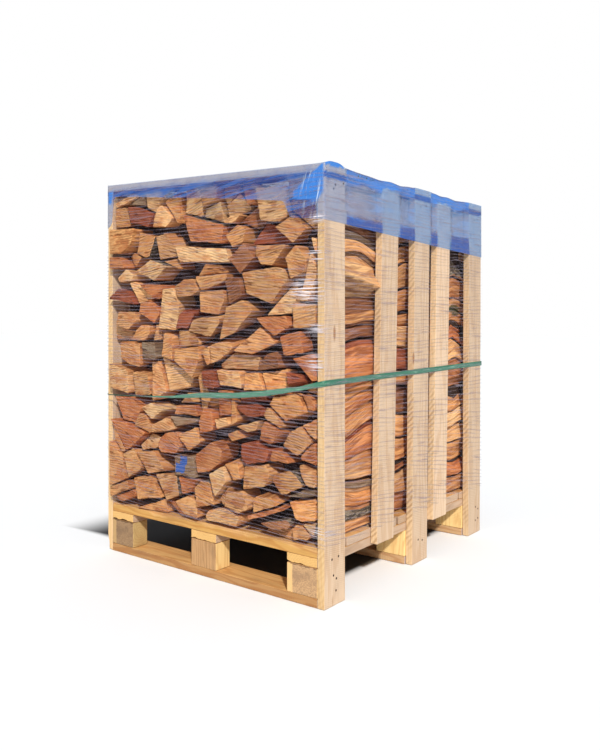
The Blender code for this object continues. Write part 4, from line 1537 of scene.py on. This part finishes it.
coverMade = {
    "gap": 0.0006, "hangs": 0.15,
    "corners": {"frontRight": 1.007, "backRight": 0.969, "backLeft": 1.010, "frontLeft": 1.045},
    "frontEdge": ((-0.402, 1.056), (-0.392, 1.146), (0.05, 1.098), (0.29, 1.067), (0.315, 1.020)),
    "topSteps": (116, 136),
    "skirtSteps": 30,
    "sag": 0.005, "ripple": 0.004, "drawnIn": 0.010,
    # How strongly it lies against the top rail, by height above the rail's lower edge
    "overRail": ((0.012, 0.0), (0.026, 0.66), (0.098, 0.66), (0.112, 0.0)),
    # Where the doubled corner is pleated, across and up
    "pleatsAcross": ((0.340, 0.0), (0.372, 1.0), (0.404, 1.0), (0.416, 0.0)),
    "pleatsUp": ((1.000, 0.4), (1.03, 1.0), (1.125, 1.0), (1.14, 0.0)),
    "colour": paint(60, 112, 188), "deep": paint(34, 62, 138), "shade": paint(26, 74, 154),
    "doubled": paint(54, 124, 208),
    "touching": paint(140, 166, 206), "touchingBack": paint(104, 164, 222),
    "freeAlpha": 0.54, "pulledAlpha": 0.34, "touchingAlpha": 0.51,
    # The sheet is puckered up over the front right corner: where along the side, how far, how high
    "pucker": {"y": -0.452, "reach": 0.040, "inwards": 0.030, "height": 0.0085},
    "leaves": {"y": (-0.335, -0.250), "colour": paint(40, 62, 40)},
    # The doubled corner at the front right: corners of the fold in x and z on the front
    "fold": ((0.4229, 1.158), (0.322, 1.086), (0.322, 1.069), (0.400, 1.056), (0.4229, 1.085)),
    "smallFold": ((-0.4229, 1.165), (-0.4229, 1.128), (-0.404, 1.120), (-0.395, 1.165)),
}


def coverLowerEdge(x, y):
    # Height of the sheet's lower edge below a place on its rim
    corners = coverMade["corners"]
    across = (x + crate["halfWidth"]) / (2 * crate["halfWidth"])
    along = (y + crate["halfLength"]) / (2 * crate["halfLength"])
    if y < -crate["halfLength"] + 0.001:
        known = [(-crate["halfWidth"], corners["frontLeft"]), *coverMade["frontEdge"]]
        known.append((crate["halfWidth"], corners["frontRight"]))
        return between(known, x)
    if y > crate["halfLength"] - 0.001:
        return blend(corners["backLeft"], corners["backRight"], across)
    side = "Right" if x > 0 else "Left"
    return blend(corners["front" + side], corners["back" + side], along)


def topSpan(node):
    # Where an upright board is along the crate, at its head
    verts = [vert.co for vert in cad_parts[node].data.vertices]
    head = max(co.z for co in verts) - 0.05
    along = [co.y for co in verts if co.z > head]
    return min(along), max(along)


def coverFinish():
    finish, tree, shader = newFinish("thinBlueSheet")
    place = objectPlace(tree)
    layers = attribute(tree, "layers", "Fac")
    touching = attribute(tree, "touching", "Fac")
    shaded = attribute(tree, "shaded", "Fac")
    creases = streaky(place, (26.0, 26.0, 8.0), detail=5.0, roughness=0.62, distortion=1.2)
    crease = stepped(creases, 0.44, 0.70)
    slanted = turned(place, 9.0, 1)
    pulls = streaky(slanted, (5.0, 9.0, 55.0), detail=4.0, roughness=0.6, distortion=0.9)
    pulled = stepped(pulls, 0.42, 0.62)
    colour = mixed(pulled, coverMade["deep"], coverMade["colour"])
    # Uneven where it lets go of the wood behind it
    edge = times(minus(creases, 0.5), 0.9)
    held = times(minus(1.0, touching), touching)
    held = times(held, 4.0)
    held = plus(touching, times(held, edge))
    ease = minus(1.0, times(crease, 0.26))
    clinging = times(larger(smaller(held, 1.0), 0.0), ease)
    towardsBack = stepped(parts(place)[1], -0.42, -0.15)
    held = mixed(towardsBack, coverMade["touching"], coverMade["touchingBack"])
    colour = mixed(clinging, colour, held)
    colour = mixed(shaded, colour, coverMade["shade"])
    colour = mixed(layers, colour, coverMade["doubled"])
    # Pale pleats in the doubled corner, and scraps of leaf along the rim of the side
    pleats = cloudy(scaled(turned(place, -14.0, 1), (190.0, 190.0, 11.0)), detail=2.0)
    inFold = times(attribute(tree, "pleated", "Fac"), stepped(pleats, 0.56, 0.66))
    colour = over(colour, inFold, 0.8, paint(206, 226, 246))
    along = parts(place)[1]
    leafy = stepped(cloudy(place, scale=150.0, detail=3.0), 0.54, 0.58)
    nearBack, farBack = coverMade["leaves"]["y"]
    leafy = times(leafy, stepped(along, nearBack - 0.01, nearBack))
    leafy = times(leafy, stepped(along, farBack + 0.01, farBack))
    leafy = times(leafy, attribute(tree, "rim", "Fac"))
    colour = mixed(leafy, colour, coverMade["leaves"]["colour"])
    link(colour, shader, "Base Color")
    loose = times(pulled, coverMade["pulledAlpha"])
    loose = plus(coverMade["freeAlpha"], loose)
    spread = minus(coverMade["touchingAlpha"], loose)
    alpha = plus(loose, times(clinging, spread))
    # Thinner over the logs of the front, which show through
    overLogs = stepped(along, -0.4990, -0.5004)
    overLogs = times(overLogs, stepped(touching, 0.9, 0.7))
    alpha = times(alpha, minus(1.0, times(overLogs, 0.24)))
    alpha = plus(alpha, times(layers, 0.40))
    alpha = plus(alpha, times(shaded, 0.42))
    alpha = smaller(plus(alpha, leafy), 0.96)
    link(alpha, shader, "Alpha")
    shader.inputs["Roughness"].default_value = 0.30
    height = plus(plus(creases, pulls), times(inFold, 0.5))
    bumped(shader, height, 0.6, 0.004)
    return finish


def logsUnderSheet():
    # The log ends of the front that the sheet lies against
    extents = random.Random(stack["seeds"]["front"] + 100)
    near = []
    for number, outline in enumerate(logOutlines("front")):
        starts, stops = logExtent("front", outline, extents, number < len(standingOut))
        if starts < -crate["halfLength"] + 0.013:
            near.append(outline)
    return near


def coverSheet():
    stepsX, stepsY = coverMade["topSteps"]
    halfX = crate["halfWidth"] + coverMade["gap"]
    halfY = crate["halfLength"] + coverMade["gap"]
    shape = bmesh.new()
    names = ("layers", "touching", "shaded", "pleated", "rim", "share")
    layers, touching, shaded, pleated, onRim, share = (shape.verts.layers.float.new(name) for name in names)
    bmesh.ops.create_grid(shape, x_segments=stepsX, y_segments=stepsY, size=1.0)
    for vert in shape.verts:
        vert.co.x *= halfX
        vert.co.y *= halfY
    edges = [edge for edge in shape.edges if edge.is_boundary]
    for number in range(1, coverMade["skirtSteps"] + 1):
        ring, edges = nextRing(shape, edges)
        for vert in ring:
            vert[share] = number / coverMade["skirtSteps"]
    topBoards = [topSpan(node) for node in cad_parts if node.startswith("top_board")]
    uprights = {}
    for side, word in ((1, "right"), (-1, "left")):
        names = [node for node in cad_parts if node.startswith((f"post_{word}", f"slat_{word}"))]
        uprights[side] = [(*topSpan(node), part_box(node)[1].z) for node in names]
    touchedLogs = logsUnderSheet()
    for vert in shape.verts:
        x, y = vert.co.x, vert.co.y
        rim = topBoardUnderside(x) + crate["boardThickness"] + coverMade["gap"]
        # The sheet sinks a little where no top board holds it up
        free = min(max(low - y, y - high, 0.0) for low, high in topBoards)
        sag = coverMade["sag"] * min(1.0, free / 0.06)
        ripple = coverMade["ripple"] * noise.noise(Vector((x * 16, y * 16, 0.0))) * min(1.0, free / 0.02)
        pucker = coverMade["pucker"]
        raised = math.exp(-((y - pucker["y"]) / pucker["reach"]) ** 4)
        raised *= max(0.0, 1 - (halfX - x) / pucker["inwards"])
        top = rim - sag + ripple + pucker["height"] * raised
        down = vert[share]
        vert.co.z = top + (coverLowerEdge(x, y) - top) * down
        onBoard = free < 0.004
        vert[touching] = 1.0 if onBoard else 0.0
        vert[layers] = 1.0 if raised > 0.3 and not down else 0.0
        vert[onRim] = 1.0 if x > 0.40 and vert.co.z > topBoardUnderside(x) + 0.006 else 0.0
        if down and abs(x) > halfX - 0.001:
            # Drawn in between the uprights by the film wound over it
            side = 1 if x > 0 else -1
            ragged = 0.004 * noise.noise(Vector((side * 3.0, y * 30, vert.co.z * 22)))
            gap = min(
                max(low - y, y - high, 0.0, 1.2 * (vert.co.z + ragged - head - 0.001))
                for low, high, head in uprights[side]
            )
            boardEnd = onBoard and vert.co.z > topBoardUnderside(x) - 0.004
            if boardEnd:
                gap = 0.0
            pull = coverMade["drawnIn"] * min(1.0, gap / 0.03) * math.sin(math.pi * min(1.0, 1.25 * down))
            vert.co.x -= side * max(0.0, pull + 0.002 * noise.noise(vert.co * 30) * min(1.0, gap / 0.01))
            overRail = between(coverMade["overRail"], vert.co.z - railBottom(side) + 2 * ragged)
            overRail *= 1.05 + 0.3 * noise.noise(Vector((side * 5.0, y * 22, vert.co.z * 16)))
            clings = min(1.0, max(0.0, 1.25 - (gap + ragged) / 0.006))
            vert[touching] = 1.0 if boardEnd else min(1.0, max(clings, overRail))
            belowBoard = topBoardUnderside(x) - vert.co.z
            if free < 0.004 and -0.002 < belowBoard < 0.014:
                vert[shaded] = 0.8
                vert[touching] = 0.3
            band = railBottom(side) + 0.018 - vert.co.z + 2 * ragged
            vert[shaded] = max(vert[shaded], (1 - clings) * between(((0.0, 0.0), (0.008, 0.85)), band))
            roll = 0.004 + 0.010 * (0.5 + noise.noise(Vector((side * 7.0, y * 12, 0.0))))
            rolled = between(((0.0, 1.0), (0.008, 0.0)), belowBoard - roll)
            if not boardEnd:
                vert[layers] = (1 - clings) * 0.8 * rolled
            if raised > 0.3 and vert.co.z > rim - 0.003:
                vert[layers] = 1.0
        elif down:
            onEdge = vert.co.z > topBoardUnderside(x) + 0.002
            beside = [outwardsOf(outline, x, vert.co.z) for outline in touchedLogs] if y < 0 else [1.0]
            ragged = 0.022 * noise.noise(Vector((x * 24, 5.0, vert.co.z * 50)))
            clings = 0.62 * min(1.0, max(0.0, 0.35 - (min(beside) + ragged) / 0.012))
            onPost = abs(x) > crate["innerHalfWidth"] + 0.001
            vert[touching] = 1.0 if onEdge or onPost else clings
            if y < 0:
                fold = outwardsOf(coverMade["fold"], x, vert.co.z)
                fold = min(fold, outwardsOf(coverMade["smallFold"], x, vert.co.z))
                vert[layers] = min(1.0, max(0.0, 0.5 - fold / 0.004))
                inCorner = between(coverMade["pleatsAcross"], x)
                vert[pleated] = inCorner * between(coverMade["pleatsUp"], vert.co.z)
                under = topBoardUnderside(x) - vert.co.z
                if not onPost:
                    deepest = 0.006 + 0.006 * noise.noise(Vector((x * 9, 2.0, 0.0)))
                    vert[shaded] = 0.60 * max(0.0, 1 - abs(under - deepest) / 0.020)
                pleat = max(0.0, 1 - abs(x - 0.37) / 0.07) * min(1.0, 3 * down)
                vert.co.y -= 0.0016 * pleat * (1 + math.sin(x * 420 + 3 * down))
    bmesh.ops.recalc_face_normals(shape, faces=shape.faces)
    for face in shape.faces:
        face.smooth = True
    piece = newPiece("blue_sheet_cover", shape, [coverFinish()], "blue_sheet", "blue_cover")
    return piece


coverSheet()
print("stage: cover")


# Clear stretch film

filmMade = {
    "offset": 0.0020, "spare": 0.0017, "step": 0.016, "abovePostTop": 0.010,
    "lowest": 0.158, "levels": 62, "flatAcross": 0.848, "flatAlong": 1.004, "flatHeight": 1.0,
    # bright is the white of the bunched film and of its painted highlight
    "colour": paint(150, 142, 160), "line": paint(150, 136, 148), "bright": paint(236, 232, 240),
    "clearAlpha": 0.012, "lineAlpha": 0.52, "linePitch": 0.0105,
    "bunchedGlintDepth": 0.05,
    # Where the film is bunched white, with a painted highlight for its glints: x, y, z, size across, size up
    "bunchedAndGlint": (
        (0.372, -0.51, 0.822, 0.050, 0.036),
        (0.400, -0.51, 0.722, 0.030, 0.014),
        (0.398, -0.51, 0.636, 0.026, 0.024),
        (0.405, -0.50, 0.195, 0.026, 0.016),
        (0.400, -0.51, 1.010, 0.030, 0.012),
        (0.400, -0.51, 0.915, 0.026, 0.018),
    ),
}


def filmFinish():
    finish, tree, shader = newFinish("clearStretchFilm")
    place = addNode(tree, "ShaderNodeUVMap", uv_map="wound").outputs[0]
    bunchedAndGlint = attribute(tree, "bunchedAndGlint", "Fac")
    # Fine lines where the film is drawn together, with a few broader pleats
    first = streaky(place, (4.5, 115.0, 1.0), detail=3.0, roughness=0.6, distortion=0.12)
    wander = streaky(place, (1.6, 9.0, 1.0), detail=3.0, roughness=0.55)
    phase = times(parts(place)[1], 2 * math.pi / filmMade["linePitch"])
    phase = plus(phase, times(wander, 26.0))
    fine = stepped(calc("SINE", phase), 0.40, 0.98)
    patchy = stepped(streaky(place, (4.0, 40.0, 1.0), detail=3.0), 0.34, 0.60)
    pleat = stepped(first, 0.60, 0.68)
    fine = times(times(fine, patchy), 0.62)
    lines = larger(fine, times(pleat, 0.85))
    streaks = streaky(place, (9.0, 210.0, 1.0), detail=3.0, roughness=0.65)
    # White streaks where bunched: the film's own gathered strands and a painted highlight for its glints
    gatheredGlint = times(stepped(bunchedAndGlint, 0.05, 0.75), stepped(streaks, 0.47, 0.60))
    colour = mixed(lines, filmMade["colour"], filmMade["line"])
    colour = mixed(bunchedAndGlint, colour, filmMade["bright"])
    link(colour, shader, "Base Color")
    alpha = times(lines, filmMade["lineAlpha"])
    boosted = times(gatheredGlint, 0.85)
    alpha = plus(plus(alpha, boosted), filmMade["clearAlpha"])
    # Drawn clear where it turns the far corners
    spot = parts(objectPlace(tree))
    atLeft = stepped(spot[0], -0.414, -0.421)
    aside = stepped(calc("ABSOLUTE", spot[0]), 0.380, 0.405)
    leftFront = times(atLeft, stepped(spot[1], -0.485, -0.495))
    farBack = times(aside, stepped(spot[1], 0.485, 0.498))
    corners = minus(1.0, times(plus(leftFront, farBack), 0.85))
    alpha = times(alpha, corners)
    link(smaller(alpha, 0.95), shader, "Alpha")
    shader.inputs["Roughness"].default_value = 0.36
    shader.inputs["Specular IOR Level"].default_value = 0.3
    bumped(shader, first, 0.5, 0.0005)
    return finish


def stretchFilm():
    places = loopPlaces(filmMade["offset"], filmMade["step"])
    shape = bmesh.new()
    uv = shape.loops.layers.uv.new("wound")
    spots = shape.verts.layers.float.new("bunchedAndGlint")
    travelled = shape.verts.layers.float.new("travelled")
    height = shape.verts.layers.float.new("height")
    line = [shape.verts.new((0.0, 0.0, level)) for level in range(filmMade["levels"] + 1)]
    for level, vert in enumerate(line):
        vert[height] = level / filmMade["levels"]
    edges = [shape.edges.new(pair) for pair in zip(line, line[1:])]
    first = list(edges)
    ring = line
    for number, (x, y, facing) in enumerate(places):
        if number:
            ring, edges = nextRing(shape, edges)
        top = topBoardUnderside(x) + filmMade["abovePostTop"]
        for vert in ring:
            z = filmMade["lowest"] + (top - filmMade["lowest"]) * vert[height]
            out = (stack["bulge"] + filmMade["spare"]) * bulgeShare(x, z)
            vert.co = (x, y - facing * out, z)
            vert[travelled] = number * filmMade["step"]
            vert[spots] = 0.0
            for spotX, spotY, spotZ, wide, tall in filmMade["bunchedAndGlint"]:
                deep = (y - spotY) / filmMade["bunchedGlintDepth"]
                near = ((x - spotX) / wide) ** 2 + deep ** 2 + ((z - spotZ) / tall) ** 2
                vert[spots] = max(vert[spots], math.exp(-near))
    bmesh.ops.bridge_loops(shape, edges=edges + first)
    bmesh.ops.recalc_face_normals(shape, faces=shape.faces)
    total = len(places) * filmMade["step"]
    for face in shape.faces:
        last = max(loop.vert[travelled] for loop in face.loops) > total - 1.5 * filmMade["step"]
        for loop in face.loops:
            gone = loop.vert[travelled]
            if last and gone < filmMade["step"]:
                gone = total
            spot = loop.vert.co
            low = max(0.0, (0.62 - spot.z) / 0.45)
            fall = 0.05 * spot.x if spot.y < -0.49 else 0.021 + 0.12 * (spot.y + 0.5)
            lift = spot.z + fall * low
            loop[uv].uv = (gone, lift)
        face.smooth = True
    piece = newPiece("wound_film", shape, [filmFinish()], "clear_film", "stretch_film")
    return piece


stretchFilm()
print("stage: film")


# Nails

nailMade = {
    "radius": 0.0034, "head": 0.0008, "colour": paint(58, 50, 44),
    # Nails of each right post: distance from the post's front edge, and height
    "front": ((0.036, 0.123), (0.067, 0.125), (0.043, 0.080), (0.057, 0.069), (0.055, 0.038),
              (0.052, 1.102), (0.090, 1.110), (0.043, 1.091)),
    "middle": ((0.039, 0.070), (0.066, 0.063), (0.035, 1.098), (0.072, 1.104)),
    "back": ((0.059, 0.091), (0.081, 0.081), (0.081, 0.048), (0.059, 0.044), (0.040, 1.095), (0.070, 1.101)),
}


def nailFinish():
    finish, tree, shader = newFinish("nailSteel")
    place = objectPlace(tree)
    rust = cloudy(place, scale=400.0, detail=3.0)
    colour = mixed(stepped(rust, 0.45, 0.65), nailMade["colour"], paint(120, 84, 58))
    link(colour, shader, "Base Color")
    shader.inputs["Metallic"].default_value = 0.6
    shader.inputs["Roughness"].default_value = 0.55
    return finish


def postNails():
    # One mesh of all the nail heads in the outer faces of the posts
    shape = bmesh.new()
    outer = crate["halfWidth"]
    for node in sorted(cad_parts):
        if not node.startswith("post_"):
            continue
        side = 1 if "right" in node else -1
        low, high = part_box(node)
        for along, height in nailMade[node.split("_")[-1]]:
            # The posts lean back a little with height
            foot, head = low.y, high.y - 0.100
            start = foot + (head - foot) * height / high.z
            made = bmesh.ops.create_cone(
                shape, cap_ends=True, segments=12, radius1=nailMade["radius"],
                radius2=0.7 * nailMade["radius"], depth=nailMade["head"],
            )["verts"]
            turn = Matrix.Rotation(math.radians(90 * side), 3, "Y")
            bmesh.ops.rotate(shape, verts=made, cent=(0, 0, 0), matrix=turn)
            place = (side * (outer + nailMade["head"] / 2 - 0.0002), start + along, height)
            bmesh.ops.translate(shape, verts=made, vec=place)
    bmesh.ops.recalc_face_normals(shape, faces=shape.faces)
    return newPiece("post_nails", shape, [nailFinish()], "crate_board")


postNails()
print("stage: nails")


# Light, floor and camera

studioMade = {
    "softLight": 0.48, "paleWall": 1.0, "floor": (0.90, 0.93, 0.97, 1.0),
    "keyLight": 3.7, "keySoftness": 3.0, "keyAzimuth": 45.0, "keyElevation": 36.5,
    "keyColour": (1.0, 0.965, 0.91), "softColour": (0.93, 0.96, 1.0, 1.0), "shade": (0.02, 0.02, 0.022, 1.0),
}

# The photograph's own view, fitted to the corners of the crate
photoView = {
    "lens": 37.25, "sensor": 36, "shift": (0.0788, -0.0745),
    "place": (1.5351, -2.1693, 0.7498), "turn": 39.83,
}


def studio():
    world = bpy.data.worlds.new("studio") if not bpy.context.scene.world else bpy.context.scene.world
    bpy.context.scene.world = world
    world.use_nodes = True
    tree = world.node_tree
    soft = tree.nodes["Background"]
    soft.inputs[0].default_value = studioMade["softColour"]
    soft.inputs[1].default_value = studioMade["softLight"]
    pale = addNode(tree, "ShaderNodeBackground", {0: (1.0, 1.0, 1.0, 1.0), 1: studioMade["paleWall"]})
    seen = addNode(tree, "ShaderNodeLightPath").outputs["Is Camera Ray"]
    both = addNode(tree, "ShaderNodeMixShader", {0: seen, 1: soft.outputs[0], 2: pale.outputs[0]})
    tree.links.new(both.outputs[0], tree.nodes["World Output"].inputs["Surface"])
    key = bpy.data.lights.new("key", "SUN")
    key.energy = studioMade["keyLight"]
    key.angle = math.radians(studioMade["keySoftness"])
    key.color = studioMade["keyColour"]
    lamp = bpy.data.objects.new("key", key)
    bpy.context.scene.collection.objects.link(lamp)
    azimuth = math.radians(studioMade["keyAzimuth"])
    elevation = math.radians(studioMade["keyElevation"])
    towards = Vector((
        math.sin(azimuth) * math.cos(elevation),
        -math.cos(azimuth) * math.cos(elevation),
        math.sin(elevation),
    ))
    lamp.rotation_mode = "QUATERNION"
    lamp.rotation_quaternion = towards.to_track_quat("Z", "Y")
    floor = bmesh.new()
    bmesh.ops.create_grid(floor, x_segments=2, y_segments=2, size=30.0)
    mesh = bpy.data.meshes.new("floor")
    floor.to_mesh(mesh)
    floor.free()
    ground = bpy.data.objects.new("floor", mesh)
    ground.location.z = -0.001
    bpy.context.scene.collection.objects.link(ground)
    finish, tree, shader = newFinish("paleFloor")
    # Pale all over, with painted shade: dark under most of the pallet and out beyond its left side, away
    # from the sun
    place = parts(objectPlace(tree))
    outside = stepped(place[0], 0.29, 0.33)
    outside = larger(outside, stepped(place[0], -0.56, -0.80))
    outside = larger(outside, stepped(place[1], -0.38, -0.42))
    outside = larger(outside, stepped(place[1], 0.42, 0.60))
    surface(shader, mixed(outside, studioMade["shade"], studioMade["floor"]), 0.9)
    mesh.materials.append(finish)


def photoCamera():
    data = bpy.data.cameras.new("camera")
    data.lens = photoView["lens"]
    data.sensor_width = photoView["sensor"]
    data.shift_x, data.shift_y = photoView["shift"]
    camera = bpy.data.objects.new("camera", data)
    camera.location = photoView["place"]
    camera.rotation_euler = (math.radians(90), 0.0, math.radians(photoView["turn"]))
    bpy.context.scene.collection.objects.link(camera)
    bpy.context.scene.camera = camera


studio()
photoCamera()
bpy.context.scene.view_settings.view_transform = "Standard"
print("stage: studio")
